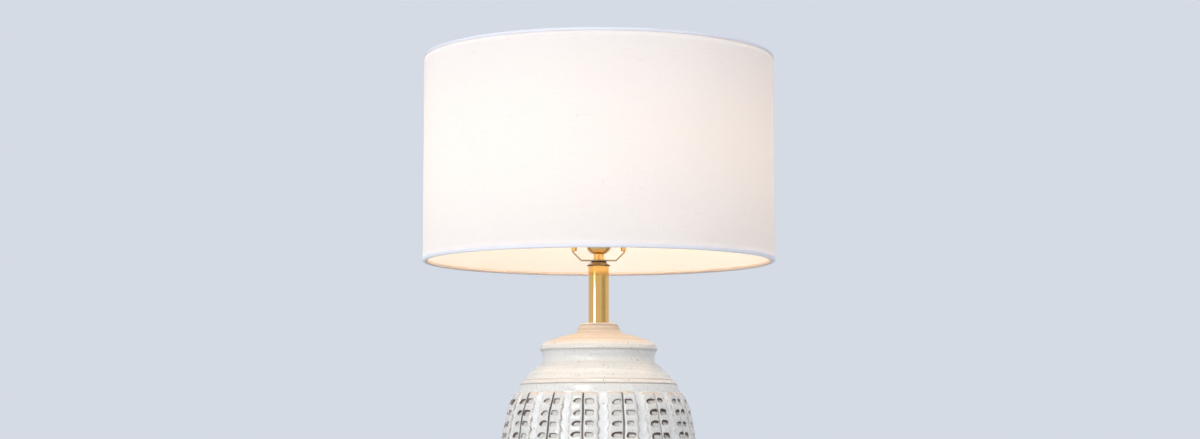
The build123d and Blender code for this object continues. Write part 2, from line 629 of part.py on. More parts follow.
shade_spider.part.label = "shade_spider"

# tape folded over each rim, hiding the wire
with BuildPart() as shade_top_trim:
    with BuildSketch(Plane.XZ):
        with BuildLine():
            Polyline(
                (TRIM_OUT, SHADE_Z1 - TRIM_H), (TRIM_OUT, SHADE_Z1), (TRIM_IN_R, SHADE_Z1), (TRIM_IN_R, SHADE_Z1 - TRIM_H),
                (TRIM_IN_R + TRIM_T, SHADE_Z1 - TRIM_H), (TRIM_IN_R + TRIM_T, SHADE_Z1 - TRIM_T), (TRIM_OUT - TRIM_T, SHADE_Z1 - TRIM_T),
                (TRIM_OUT - TRIM_T, SHADE_Z1 - TRIM_H), close=True,
            )
        make_face()
    revolve(axis=Axis.Z)
    for turn in (90, 210, 330):
        with BuildSketch(Plane.XY.offset(SHADE_Z1 - TRIM_H - 1)):
            with Locations((TRIM_IN_R * math.cos(math.radians(turn)), TRIM_IN_R * math.sin(math.radians(turn)))):
                Rectangle(4.0, 2 * ARM_R + 1.0, rotation=turn)
        extrude(amount=TRIM_H + 1 - TRIM_T - 0.1, mode=Mode.SUBTRACT)
shade_top_trim.part.label = "shade_top_trim"

with BuildPart() as shade_bottom_trim:
    with BuildSketch(Plane.XZ):
        with BuildLine():
            Polyline(
                (TRIM_OUT, SHADE_Z0 + TRIM_H), (TRIM_OUT, SHADE_Z0), (TRIM_IN_R, SHADE_Z0), (TRIM_IN_R, SHADE_Z0 + TRIM_H),
                (TRIM_IN_R + TRIM_T, SHADE_Z0 + TRIM_H), (TRIM_IN_R + TRIM_T, SHADE_Z0 + TRIM_T), (TRIM_OUT - TRIM_T, SHADE_Z0 + TRIM_T),
                (TRIM_OUT - TRIM_T, SHADE_Z0 + TRIM_H), close=True,
            )
        make_face()
    revolve(axis=Axis.Z)
shade_bottom_trim.part.label = "shade_bottom_trim"

# ---------------------------------------------------------------- finial
fz = fitter_z1
insert_r, insert_bore_r = 5.0, STUD_R + 0.12
with BuildPart() as finial_insert:
    with BuildSketch(Plane.XY.offset(fz)):
        Circle(insert_r)
        Circle(insert_bore_r, mode=Mode.SUBTRACT)
    extrude(amount=12.2)
finial_insert.part.label = "finial_insert"

ball_z = fz + FINIAL_H - FINIAL_BALL_R
neck_r = 6.6
neck_z = ball_z - math.sqrt(FINIAL_BALL_R**2 - neck_r**2)
with BuildPart() as finial_knob:
    with BuildSketch(Plane.XZ):
        with BuildLine():
            Polyline((insert_r + 0.06, fz), (8.2, fz), (8.6, fz + 0.6), (8.6, fz + 1.8), (8.0, fz + 2.6))
            ThreePointArc((8.0, fz + 2.6), (6.2, fz + 6.0), (neck_r, neck_z))
            ThreePointArc((neck_r, neck_z), (FINIAL_BALL_R, ball_z), (0, fz + FINIAL_H))
            Polyline((0, fz + FINIAL_H), (0, fz + 12.4), (insert_r + 0.06, fz + 12.4), (insert_r + 0.06, fz))
        make_face()
    revolve(axis=Axis.Z)
finial_knob.part.label = "finial_knob"

# ---------------------------------------------------------------- one STEP per piece
export_step(ceramic_body.part, "parts/ceramic_body.step")
export_step(foot_felt.part, "parts/foot_felt.step")
export_step(cord_bushing.part, "parts/cord_bushing.step")
export_step(lamp_pipe.part, "parts/lamp_pipe.step")
export_step(base_plate.part, "parts/base_plate.step")
export_step(base_washer.part, "parts/base_washer.step")
export_step(base_nut.part, "parts/base_nut.step")
export_step(neck_seat_ring.part, "parts/neck_seat_ring.step")
export_step(neck_tube.part, "parts/neck_tube.step")
export_step(neck_cap.part, "parts/neck_cap.step")
export_step(saddle_locknut.part, "parts/saddle_locknut.step")
export_step(harp_saddle.part, "parts/harp_saddle.step")
export_step(harp_bow.part, "parts/harp_bow.step")
export_step(harp_stud.part, "parts/harp_stud.step")
export_step(harp_ferrule_left.part, "parts/harp_ferrule_left.step")
export_step(harp_ferrule_right.part, "parts/harp_ferrule_right.step")
export_step(socket_cap.part, "parts/socket_cap.step")
export_step(socket_set_screw.part, "parts/socket_set_screw.step")
export_step(cap_insulator.part, "parts/cap_insulator.step")
export_step(socket_shell.part, "parts/socket_shell.step")
export_step(shell_insulator.part, "parts/shell_insulator.step")
export_step(socket_interior.part, "parts/socket_interior.step")
export_step(terminal_screws.part, "parts/terminal_screws.step")
export_step(screw_shell.part, "parts/screw_shell.step")
export_step(centre_contact.part, "parts/centre_contact.step")
export_step(switch_shaft.part, "parts/switch_shaft.step")
export_step(switch_knob.part, "parts/switch_knob.step")
export_step(bulb_glass.part, "parts/bulb_glass.step")
export_step(bulb_cap.part, "parts/bulb_cap.step")
export_step(bulb_contact.part, "parts/bulb_contact.step")
export_step(shade_linen.part, "parts/shade_linen.step")
export_step(shade_liner.part, "parts/shade_liner.step")
export_step(shade_top_ring.part, "parts/shade_top_ring.step")
export_step(shade_bottom_ring.part, "parts/shade_bottom_ring.step")
export_step(shade_spider.part, "parts/shade_spider.step")
export_step(shade_top_trim.part, "parts/shade_top_trim.step")
export_step(shade_bottom_trim.part, "parts/shade_bottom_trim.step")
export_step(finial_insert.part, "parts/finial_insert.step")
export_step(finial_knob.part, "parts/finial_knob.step")
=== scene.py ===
"""Looks of the ceramic table lamp: carved stoneware, brass, linen and light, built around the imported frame. Metres, +Z up."""

import math

import bpy
import numpy as np
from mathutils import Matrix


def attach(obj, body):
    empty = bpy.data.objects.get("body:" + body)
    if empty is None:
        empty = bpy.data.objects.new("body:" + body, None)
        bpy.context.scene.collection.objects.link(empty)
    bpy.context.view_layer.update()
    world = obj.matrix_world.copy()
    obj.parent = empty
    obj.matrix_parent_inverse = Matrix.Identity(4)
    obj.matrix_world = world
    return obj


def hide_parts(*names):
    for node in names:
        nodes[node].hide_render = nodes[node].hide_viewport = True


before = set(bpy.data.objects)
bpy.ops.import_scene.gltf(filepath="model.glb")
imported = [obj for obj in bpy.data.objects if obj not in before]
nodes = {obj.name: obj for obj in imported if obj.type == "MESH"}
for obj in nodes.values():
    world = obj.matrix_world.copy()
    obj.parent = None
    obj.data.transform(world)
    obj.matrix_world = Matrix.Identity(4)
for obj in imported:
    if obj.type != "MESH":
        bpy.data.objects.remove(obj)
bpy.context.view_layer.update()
rng = np.random.RandomState(11)
scene = bpy.context.scene
scene.view_settings.view_transform = "Standard"
scene.view_settings.look = "None"
scene.view_settings.exposure = 0.0
scene.view_settings.gamma = 1.0

# ---------------------------------------------------------------- camera at the photograph's angle
cam_data = bpy.data.cameras.new("camera")
cam_data.sensor_fit = "HORIZONTAL"
cam_data.sensor_width = 36.0
cam_data.lens = 2310.3 * 36.0 / 1200.0
cam_data.clip_end = 50.0
cam = bpy.data.objects.new("camera", cam_data)
scene.collection.objects.link(cam)
cam.location = (0.0, -2.8326, 0.2463)
cam.rotation_euler = (math.radians(90 + 5.74), 0.0, math.radians(-0.0314))
scene.camera = cam


# ---------------------------------------------------------------- node helpers
def new_material(name):
    mat = bpy.data.materials.new(name)
    mat.use_nodes = True
    tree = mat.node_tree
    tree.nodes.clear()
    return mat, tree


def node(tree, kind, **values):
    made = tree.nodes.new(kind)
    for key, value in values.items():
        if key.startswith("in_"):
            made.inputs[key[3:].replace("_", " ")].default_value = value
        else:
            setattr(made, key, value)
    return made


def link(tree, a, b):
    tree.links.new(a, b)


def math_node(tree, op, a, b=None, c=None):
    made = tree.nodes.new("ShaderNodeMath")
    made.operation = op
    for i, value in enumerate((a, b, c)):
        if value is None:
            continue
        if isinstance(value, (int, float)):
            made.inputs[i].default_value = value
        else:
            tree.links.new(value, made.inputs[i])
    return made.outputs[0]


def mix_color(tree, factor, a, b, blend="MIX"):
    made = tree.nodes.new("ShaderNodeMix")
    made.data_type = "RGBA"
    made.blend_type = blend
    made.clamp_factor = True
    for socket, value in ((made.inputs[0], factor), (made.inputs[6], a), (made.inputs[7], b)):
        if isinstance(value, (int, float)):
            socket.default_value = value
        elif isinstance(value, tuple):
            socket.default_value = value if len(value) == 4 else (*value, 1.0)
        else:
            tree.links.new(value, socket)
    return made.outputs[2]


def ramp(tree, value, stops):
    made = tree.nodes.new("ShaderNodeValToRGB")
    elements = made.color_ramp.elements
    while len(elements) < len(stops):
        elements.new(0.5)
    for element, (at, level) in zip(elements, stops):
        element.position = at
        element.color = (level, level, level, 1.0)
    tree.links.new(value, made.inputs[0])
    return made.outputs[0]


def noise(tree, vector, scale, detail=3.0, rough=0.55):
    made = tree.nodes.new("ShaderNodeTexNoise")
    made.inputs["Scale"].default_value = scale
    made.inputs["Detail"].default_value = detail
    made.inputs["Roughness"].default_value = rough
    tree.links.new(vector, made.inputs["Vector"])
    return made.outputs["Fac"]


def stretched(tree, vector, scale):
    made = tree.nodes.new("ShaderNodeMapping")
    made.inputs["Scale"].default_value = scale
    tree.links.new(vector, made.inputs["Vector"])
    return made.outputs["Vector"]


def bump(tree, height, strength, distance, normal=None):
    made = tree.nodes.new("ShaderNodeBump")
    made.inputs["Strength"].default_value = strength
    made.inputs["Distance"].default_value = distance
    tree.links.new(height, made.inputs["Height"])
    if normal is not None:
        tree.links.new(normal, made.inputs["Normal"])
    return made.outputs["Normal"]


def attribute(tree, name):
    made = tree.nodes.new("ShaderNodeAttribute")
    made.attribute_name = name
    return made.outputs["Fac"]


def place(tree):
    return tree.nodes.new("ShaderNodeTexCoord").outputs["Object"]


def around(tree, radius):
    """Arc length round the axis and height, as a flat vector, for a weave that wraps a cylinder."""
    split = tree.nodes.new("ShaderNodeSeparateXYZ")
    link(tree, place(tree), split.inputs[0])
    turn = math_node(tree, "ARCTAN2", split.outputs["X"], split.outputs["Y"])
    arc = math_node(tree, "MULTIPLY", turn, radius)
    join = tree.nodes.new("ShaderNodeCombineXYZ")
    link(tree, arc, join.inputs["X"])
    link(tree, split.outputs["Z"], join.inputs["Y"])
    return join.outputs[0], arc, split.outputs["Z"]


def principled(tree, **values):
    shader = tree.nodes.new("ShaderNodeBsdfPrincipled")
    for key, value in values.items():
        shader.inputs[key.replace("_", " ")].default_value = value
    out = tree.nodes.new("ShaderNodeOutputMaterial")
    link(tree, shader.outputs[0], out.inputs["Surface"])
    return shader


# ---------------------------------------------------------------- materials
def fade(tree, value, low, high):
    """0 below low, 1 above high, smooth between; low may be above high."""
    made = tree.nodes.new("ShaderNodeMapRange")
    made.interpolation_type = "SMOOTHSTEP"
    made.clamp = True
    tree.links.new(value, made.inputs["Value"])
    made.inputs["From Min"].default_value = low
    made.inputs["From Max"].default_value = high
    return made.outputs[0]


def times(tree, *values):
    out = values[0]
    for value in values[1:]:
        out = math_node(tree, "MULTIPLY", out, value)
    return out


def stoneware():
    mat, t = new_material("stoneware")
    shader = principled(t, Specular_IOR_Level=0.62, IOR=1.5)
    where = place(t)
    clay, dark, cream = attribute(t, "clay"), attribute(t, "dark"), attribute(t, "cream")
    cut, ink, score, score_ink, rim, rim_ink = (attribute(t, name) for name in ("cut", "ink", "score", "score_ink", "rim", "rim_ink"))
    broad = noise(t, where, 26.0, 4.0)
    fine = noise(t, where, 520.0, 3.0)
    grit = noise(t, where, 1500.0, 2.0)
    # throwing rings follow the outline of the pot
    length = t.nodes.new("ShaderNodeCombineXYZ")
    link(t, math_node(t, "MULTIPLY", attribute(t, "along"), 0.26), length.inputs["X"])
    drift = t.nodes.new("ShaderNodeVectorMath")
    drift.operation = "MULTIPLY_ADD"
    link(t, where, drift.inputs[0])
    drift.inputs[1].default_value = (5.0, 5.0, 0.0)
    link(t, length.outputs[0], drift.inputs[2])
    rings = noise(t, drift.outputs[0], 1.0, 4.0, 0.65)
    thin_ring = fade(t, rings, 0.45, 0.36)

    glaze = mix_color(t, broad, (0.68, 0.66, 0.617), (0.79, 0.765, 0.715))
    glaze = mix_color(t, times(t, fade(t, fine, 0.46, 0.66), 0.30), glaze, (0.50, 0.475, 0.44))
    glaze = mix_color(t, times(t, fade(t, rings, 0.5, 0.75), 0.25), glaze, (0.83, 0.81, 0.77))
    creamy = mix_color(t, rings, (0.67, 0.635, 0.58), (0.80, 0.775, 0.725))
    creamy = mix_color(t, times(t, thin_ring, 0.5), creamy, (0.60, 0.51, 0.42))
    bare = mix_color(t, rings, (0.645, 0.475, 0.335), (0.87, 0.735, 0.58))
    bare = mix_color(t, times(t, thin_ring, 0.6), bare, (0.54, 0.34, 0.23))
    bare = mix_color(t, times(t, fade(t, grit, 0.60, 0.74), 0.35), bare, (0.50, 0.34, 0.24))
    body = mix_color(t, cream, glaze, creamy)
    edge = times(t, clay, math_node(t, "ADD", 0.62, times(t, fine, 0.7)))
    body = mix_color(t, edge, body, bare)

    # glaze lies thick and white in the channels, and their whitening is also a painted highlight; the glaze is thinner
    # over the panels
    channel_glaze_and_highlight = times(t, fade(t, rim, -0.3, -1.6), fade(t, score, 8.0, 10.0), math_node(t, "ADD", 0.12, times(t, broad, 0.80)))
    body = mix_color(t, channel_glaze_and_highlight, body, (0.87, 0.855, 0.83))
    body = mix_color(t, times(t, fade(t, rim, 0.2, 1.4), 0.22), body, (0.58, 0.55, 0.505))
    # painted shade: the floor of each cut is greyed where shade falls in it
    painted_cut_shade = times(t, fade(t, cut, -0.2, -1.6), 0.25)
    body = mix_color(t, painted_cut_shade, body, (0.47, 0.455, 0.43))
    # bare clay breaks through on the burr round a cut and along the panel's edge
    ragged = fade(t, fine, 0.42, 0.58)
    burr = times(t, fade(t, math_node(t, "ABSOLUTE", math_node(t, "SUBTRACT", cut, 0.42)), 0.42, 0.12), ragged, 0.42)
    body = mix_color(t, burr, body, (0.74, 0.56, 0.44))
    lip = times(t, fade(t, math_node(t, "ABSOLUTE", math_node(t, "SUBTRACT", rim, 0.5)), 0.85, 0.2), fade(t, fine, 0.36, 0.56), 0.6)
    body = mix_color(t, lip, body, (0.56, 0.44, 0.35))
    # brown slip: a line of uneven weight round each cut, and the long scored line. Along each cut's top edge the dark
    # is also painted shadow under the overhang, and the line down each panel's edge is slip and painted shadow, heavier
    # on the right-hand edges.
    edge_slip_shadow_line = times(t, fade(t, math_node(t, "ABSOLUTE", math_node(t, "ADD", rim, 0.3)), 1.15, 0.35), rim_ink, math_node(t, "ADD", 0.2, times(t, fine, 1.3)))
    body = mix_color(t, edge_slip_shadow_line, body, (0.145, 0.112, 0.092))
    slip = mix_color(t, fine, (0.050, 0.024, 0.014), (0.150, 0.082, 0.050))
    weight = times(t, ink, math_node(t, "ADD", 0.45, times(t, fine, 0.95)))
    stroke = fade(t, math_node(t, "SUBTRACT", times(t, weight, 1.95), math_node(t, "ABSOLUTE", math_node(t, "ADD", cut, 0.35))), -0.08, 0.34)
    stroke = times(t, stroke, math_node(t, "MINIMUM", math_node(t, "ADD", 0.35, times(t, ink, 0.8)), 1.0))
    body = mix_color(t, stroke, body, slip)
    width = math_node(t, "ADD", 0.72, times(t, fine, 0.45))
    scored = times(t, fade(t, math_node(t, "SUBTRACT", width, score), -0.10, 0.22), score_ink)
    deep_slip = mix_color(t, fade(t, noise(t, where, 48.0, 2.0), 0.42, 0.62), (0.028, 0.015, 0.011), (0.125, 0.085, 0.064))
    body = mix_color(t, scored, body, deep_slip)
    # dark marks: slip in the incised rings and scratches, and painted shade under the lip
    dark_slip_and_shade = times(t, dark, math_node(t, "ADD", 0.55, times(t, fine, 0.85)))
    body = mix_color(t, dark_slip_and_shade, body, slip)
    # iron specks of three sizes
    for scale, reach, rare, depth in ((900.0, 0.32, 0.74, 0.42), (430.0, 0.25, 0.86, 0.78), (170.0, 0.16, 0.92, 0.92)):
        cells = t.nodes.new("ShaderNodeTexVoronoi")
        cells.inputs["Scale"].default_value = scale
        link(t, where, cells.inputs["Vector"])
        near = fade(t, cells.outputs["Distance"], reach, reach * 0.6)
        split = t.nodes.new("ShaderNodeSeparateColor")
        link(t, cells.outputs["Color"], split.inputs[0])
        chosen = math_node(t, "GREATER_THAN", split.outputs[0], rare)
        body = mix_color(t, times(t, near, chosen, depth), body, (0.09, 0.058, 0.038))
    link(t, body, shader.inputs["Base Color"])
    rough = math_node(t, "ADD", 0.09, times(t, broad, 0.12))
    rough = math_node(t, "ADD", rough, times(t, clay, 0.42))
    rough = math_node(t, "ADD", rough, times(t, cream, 0.03))
    rough = math_node(t, "ADD", rough, times(t, math_node(t, "MAXIMUM", dark, math_node(t, "MAXIMUM", stroke, scored)), 0.3))
    link(t, rough, shader.inputs["Roughness"])
    normal = bump(t, rings, 0.24, 0.0007)
    normal = bump(t, fine, 0.08, 0.0006, normal)
    normal = bump(t, fade(t, cut, -0.55, 0.15), 0.55, 0.0007, normal)
    normal = bump(t, times(t, fade(t, score, 1.3, 0.2), score_ink), -0.5, 0.0008, normal)
    link(t, bump(t, broad, 0.12, 0.0012, normal), shader.inputs["Normal"])
    return mat


def brass(name, rough=0.2, tone=(0.84, 0.60, 0.25), along=(60.0, 60.0, 4.0), painted_shade_below=None, lacquer=0.1):
    mat, t = new_material(name)
    shader = principled(t, Metallic=1.0, Coat_Weight=lacquer, Coat_Roughness=0.05)
    where = place(t)
    brushed = noise(t, stretched(t, where, along), 30.0, 3.0)
    cloud = noise(t, where, 45.0, 3.0)
    warm = tuple(c * s for c, s in zip(tone, (0.90, 0.86, 0.78)))
    colour = mix_color(t, cloud, warm, tone)
    if painted_shade_below:
        # painted shade: a dark band under the bead, below this height, stands in for the shadow and dark reflection
        # there
        split = t.nodes.new("ShaderNodeSeparateXYZ")
        link(t, where, split.inputs[0])
        colour = mix_color(t, times(t, fade(t, split.outputs["Z"], painted_shade_below, painted_shade_below - 0.0005), 0.9), colour, (0.075, 0.045, 0.022))
    link(t, colour, shader.inputs["Base Color"])
    level = math_node(t, "ADD", rough - 0.05, math_node(t, "MULTIPLY", brushed, 0.10))
    link(t, level, shader.inputs["Roughness"])
    link(t, bump(t, brushed, 0.05, 0.0002), shader.inputs["Normal"])
    return mat


def metal(name, low, high, rough):
    mat, t = new_material(name)
    shader = principled(t, Metallic=1.0)
    where = place(t)
    cloud = noise(t, where, 160.0, 4.0)
    link(t, mix_color(t, cloud, low, high), shader.inputs["Base Color"])
    link(t, math_node(t, "ADD", rough, math_node(t, "MULTIPLY", cloud, 0.16)), shader.inputs["Roughness"])
    link(t, bump(t, noise(t, where, 900.0, 2.0), 0.12, 0.0002), shader.inputs["Normal"])
    return mat


def plastic(name, low, high, rough):
    mat, t = new_material(name)
    shader = principled(t)
    where = place(t)
    cloud = noise(t, where, 120.0, 4.0)
    link(t, mix_color(t, cloud, low, high), shader.inputs["Base Color"])
    link(t, math_node(t, "ADD", rough, math_node(t, "MULTIPLY", cloud, 0.14)), shader.inputs["Roughness"])
    link(t, bump(t, noise(t, where, 1500.0, 2.0), 0.15, 0.0001), shader.inputs["Normal"])
    return mat


def linen():
    mat, t = new_material("linen")
    flat, arc, height = around(t, 0.2159)
    pitch = 0.00085
    warp = math_node(t, "SINE", math_node(t, "MULTIPLY", arc, 2 * math.pi / pitch))
    weft = math_node(t, "SINE", math_node(t, "MULTIPLY", height, 2 * math.pi / pitch))
    weave = math_node(t, "MULTIPLY", warp, weft)
    across = noise(t, stretched(t, flat, (55.0, 1300.0, 1.0)), 1.0, 2.0)
    upright = noise(t, stretched(t, flat, (1300.0, 45.0, 1.0)), 1.0, 2.0)
    slub = math_node(t, "MAXIMUM", ramp(t, across, [(0.60, 0.0), (0.74, 1.0)]), ramp(t, upright, [(0.62, 0.0), (0.76, 1.0)]))
    cloth = mix_color(t, math_node(t, "MULTIPLY", slub, 0.62), (0.878, 0.893, 0.905), (0.735, 0.715, 0.70))
    thread = ramp(t, math_node(t, "ADD", 0.5, math_node(t, "MULTIPLY", weave, 0.5)), [(0.0, 0.93), (1.0, 1.0)])
    cloth = mix_color(t, 1.0, cloth, thread, "MULTIPLY")
    # husk flecks, short and mostly upright
    flecks = t.nodes.new("ShaderNodeTexVoronoi")
    flecks.inputs["Scale"].default_value = 1.0
    link(t, stretched(t, flat, (150.0, 62.0, 1.0)), flecks.inputs["Vector"])
    split = t.nodes.new("ShaderNodeSeparateColor")
    link(t, flecks.outputs["Color"], split.inputs[0])
    rare = math_node(t, "GREATER_THAN", split.outputs[0], 0.93)
    spot = times(t, rare, fade(t, flecks.outputs["Distance"], 0.15, 0.06))
    cloth = mix_color(t, times(t, spot, 0.3), cloth, (0.55, 0.43, 0.31))
    normal = bump(t, weave, 0.30, 0.00025)
    normal = bump(t, slub, 0.35, 0.0003, normal)
    front = node(t, "ShaderNodeBsdfDiffuse", in_Roughness=0.6)
    through = node(t, "ShaderNodeBsdfTranslucent")
    for shader in (front, through):
        link(t, cloth, shader.inputs["Color"])
        link(t, normal, shader.inputs["Normal"])
    both = node(t, "ShaderNodeMixShader", in_Fac=0.36)
    link(t, front.outputs[0], both.inputs[1])
    link(t, through.outputs[0], both.inputs[2])
    # the cloth glows warm, most at the bulb's height
    away = math_node(t, "MULTIPLY", math_node(t, "SUBTRACT", height, 0.61), 1 / 0.11)
    peak = math_node(t, "EXPONENT", times(t, away, away, -1.0))
    glow = node(t, "ShaderNodeEmission", in_Color=(0.195, 0.125, 0.072, 1.0))
    link(t, math_node(t, "ADD", 0.6, times(t, peak, 0.4)), glow.inputs["Strength"])
    whole = t.nodes.new("ShaderNodeAddShader")
    link(t, both.outputs[0], whole.inputs[0])
    link(t, glow.outputs[0], whole.inputs[1])

    # and a little light creeps past the wires along both rims
    def near(level):
        off = math_node(t, "MULTIPLY", math_node(t, "SUBTRACT", height, level), 1 / 0.003)
        return math_node(t, "EXPONENT", times(t, off, off, -1.0))

    creep = node(t, "ShaderNodeEmission", in_Color=(0.09, 0.087, 0.10, 1.0))
    link(t, math_node(t, "ADD", near(0.4828), times(t, near(0.7266), 0.55)), creep.inputs["Strength"])
    rims = t.nodes.new("ShaderNodeAddShader")
    link(t, whole.outputs[0], rims.inputs[0])
    link(t, creep.outputs[0], rims.inputs[1])
    out = t.nodes.new("ShaderNodeOutputMaterial")
    link(t, rims.outputs[0], out.inputs["Surface"])
    return mat


def styrene():
    mat, t = new_material("styrene")
    flat, arc, height = around(t, 0.2143)
    cloud = noise(t, stretched(t, flat, (14.0, 14.0, 1.0)), 1.0, 3.0)
    tone = mix_color(t, cloud, (0.93, 0.90, 0.85), (0.96, 0.935, 0.89))
    normal = bump(t, noise(t, stretched(t, flat, (700.0, 700.0, 1.0)), 1.0, 2.0), 0.15, 0.0002)
    front = node(t, "ShaderNodeBsdfDiffuse")
    through = node(t, "ShaderNodeBsdfTranslucent")
    for shader in (front, through):
        link(t, tone, shader.inputs["Color"])
        link(t, normal, shader.inputs["Normal"])
    both = node(t, "ShaderNodeMixShader", in_Fac=0.5)
    link(t, front.outputs[0], both.inputs[1])
    link(t, through.outputs[0], both.inputs[2])
    out = t.nodes.new("ShaderNodeOutputMaterial")
    link(t, both.outputs[0], out.inputs["Surface"])
    return mat


def tape(name, outer, inner, inner_low_shade=None):
    mat, t = new_material(name)
    shader = principled(t, Roughness=0.9, Specular_IOR_Level=0.2, Sheen_Weight=0.15)
    flat, arc, height = around(t, 0.2163)
    rib = math_node(t, "SINE", math_node(t, "MULTIPLY", arc, 2 * math.pi / 0.0007))
    uneven = noise(t, stretched(t, flat, (160.0, 500.0, 1.0)), 1.0, 3.0)
    split = t.nodes.new("ShaderNodeSeparateXYZ")
    link(t, place(t), split.inputs[0])
    radius = math_node(t, "SQRT", math_node(t, "ADD", math_node(t, "MULTIPLY", split.outputs["X"], split.outputs["X"]), math_node(t, "MULTIPLY", split.outputs["Y"], split.outputs["Y"])))
    # the inner leg is tinted warm as painted bulb light, and on the lower tape it darkens towards the rim as painted
    # shade
    inside = math_node(t, "LESS_THAN", radius, 0.2128)
    painted_warm_lining = inner if inner_low_shade is None else mix_color(t, fade(t, height, 0.4785, 0.483), inner_low_shade, inner)
    tone = mix_color(t, inside, outer, painted_warm_lining)
    dull = tuple(c * 0.86 for c in outer)
    tone = mix_color(t, math_node(t, "MULTIPLY", uneven, 0.35), tone, dull)
    link(t, tone, shader.inputs["Base Color"])
    normal = bump(t, rib, 0.35, 0.0002)
    link(t, bump(t, uneven, 0.3, 0.0003, normal), shader.inputs["Normal"])
    return mat


def felt():
    mat, t = new_material("felt")
    shader = principled(t, Roughness=0.95, Specular_IOR_Level=0.1, Sheen_Weight=0.4, Sheen_Roughness=0.6)
    where = place(t)
    hair = noise(t, where, 900.0, 4.0, 0.7)
    link(t, mix_color(t, hair, (0.045, 0.038, 0.032), (0.14, 0.12, 0.10)), shader.inputs["Base Color"])
    link(t, bump(t, hair, 0.8, 0.0008), shader.inputs["Normal"])
    return mat


def lit_glass():
    mat, t = new_material("lit_glass")
    shader = principled(t, Roughness=0.35, Emission_Strength=41.0)
    where = place(t)
    frost = noise(t, where, 300.0, 3.0)
    link(t, mix_color(t, frost, (0.93, 0.90, 0.84), (0.97, 0.95, 0.91)), shader.inputs["Base Color"])
    # the glow is fuller round the filament than at the neck
    split = t.nodes.new("ShaderNodeSeparateXYZ")
    link(t, where, split.inputs[0])
    rise = node(t, "ShaderNodeMapRange", clamp=True)
    link(t, split.outputs["Z"], rise.inputs["Value"])
    rise.inputs["From Min"].default_value = 0.553
    rise.inputs["From Max"].default_value = 0.60
    link(t, mix_color(t, rise.outputs[0], (0.42, 0.31, 0.20), (1.0, 0.885, 0.745)), shader.inputs["Emission Color"])
    link(t, bump(t, frost, 0.1, 0.0002), shader.inputs["Normal"])
    return mat


def painted_wire():
    return plastic("white_wire", (0.72, 0.70, 0.66), (0.80, 0.78, 0.74), 0.36)


mats = {
    "stoneware": stoneware(),
    "tube": brass("brass_tube", 0.078, (1.0, 0.605, 0.188), (90.0, 90.0, 2.0), None, 0.4),
    "spun": brass("brass_spun", 0.09, (0.86, 0.57, 0.22), (40.0, 40.0, 90.0)),
    # the neck cap's dark band under its bead is painted shade
    "cap": brass("brass_cap", 0.30, (0.94, 0.66, 0.34), (40.0, 40.0, 90.0), 0.4746),
    "saddle": brass("brass_saddle", 0.28, (0.46, 0.335, 0.17), (30.0, 30.0, 30.0)),
    "wire": brass("brass_wire", 0.19, (0.82, 0.57, 0.23), (30.0, 30.0, 30.0)),
    "steel": metal("zinc_steel", (0.40, 0.39, 0.37), (0.56, 0.55, 0.52), 0.34),
    "dark_steel": metal("black_steel", (0.05, 0.042, 0.036), (0.11, 0.092, 0.078), 0.38),
    "linen": linen(),
    "styrene": styrene(),
    "tape_top": tape("tape_top", (0.80, 0.79, 0.83), (0.88, 0.80, 0.68)),
    "tape_bottom": tape("tape_bottom", (0.84, 0.83, 0.87), (0.84, 0.64, 0.44), (0.62, 0.45, 0.34)),
    "felt": felt(),
    "glass": lit_glass(),
    "white_wire": painted_wire(),
    "fibre": plastic("fibre", (0.20, 0.13, 0.08), (0.32, 0.22, 0.14), 0.72),
    "phenolic": plastic("phenolic", (0.018, 0.015, 0.013), (0.036, 0.03, 0.026), 0.34),
    "aluminium": metal("bulb_aluminium", (0.62, 0.62, 0.61), (0.78, 0.78, 0.77), 0.26),
    "solder": metal("solder", (0.40, 0.40, 0.41), (0.56, 0.56, 0.57), 0.42),
    "nylon": plastic("nylon", (0.03, 0.027, 0.024), (0.06, 0.054, 0.048), 0.46),
}
node_look = {
    "cord_bushing": "nylon", "lamp_pipe": "steel", "base_plate": "steel", "base_washer": "steel", "base_nut": "steel",
    "neck_seat_ring": "steel", "neck_tube": "tube", "neck_cap": "cap", "saddle_locknut": "dark_steel", "harp_saddle": "saddle",
    "harp_bow": "wire", "harp_stud": "wire", "harp_ferrule_left": "spun", "harp_ferrule_right": "spun", "socket_cap": "spun",
    "socket_set_screw": "steel", "cap_insulator": "fibre", "socket_shell": "spun", "shell_insulator": "fibre",
    "socket_interior": "phenolic", "terminal_screws": "wire", "screw_shell": "wire", "centre_contact": "wire",
    "switch_shaft": "steel", "switch_knob": "phenolic", "bulb_glass": "glass", "bulb_cap": "aluminium", "bulb_contact": "solder",
    "shade_liner": "styrene", "shade_top_ring": "white_wire", "shade_bottom_ring": "white_wire", "shade_spider": "white_wire",
    "finial_insert": "steel", "finial_knob": "spun",
}
for name, look in node_look.items():
    slots = nodes[name].data.materials
    slots.clear()
    slots.append(mats[look])


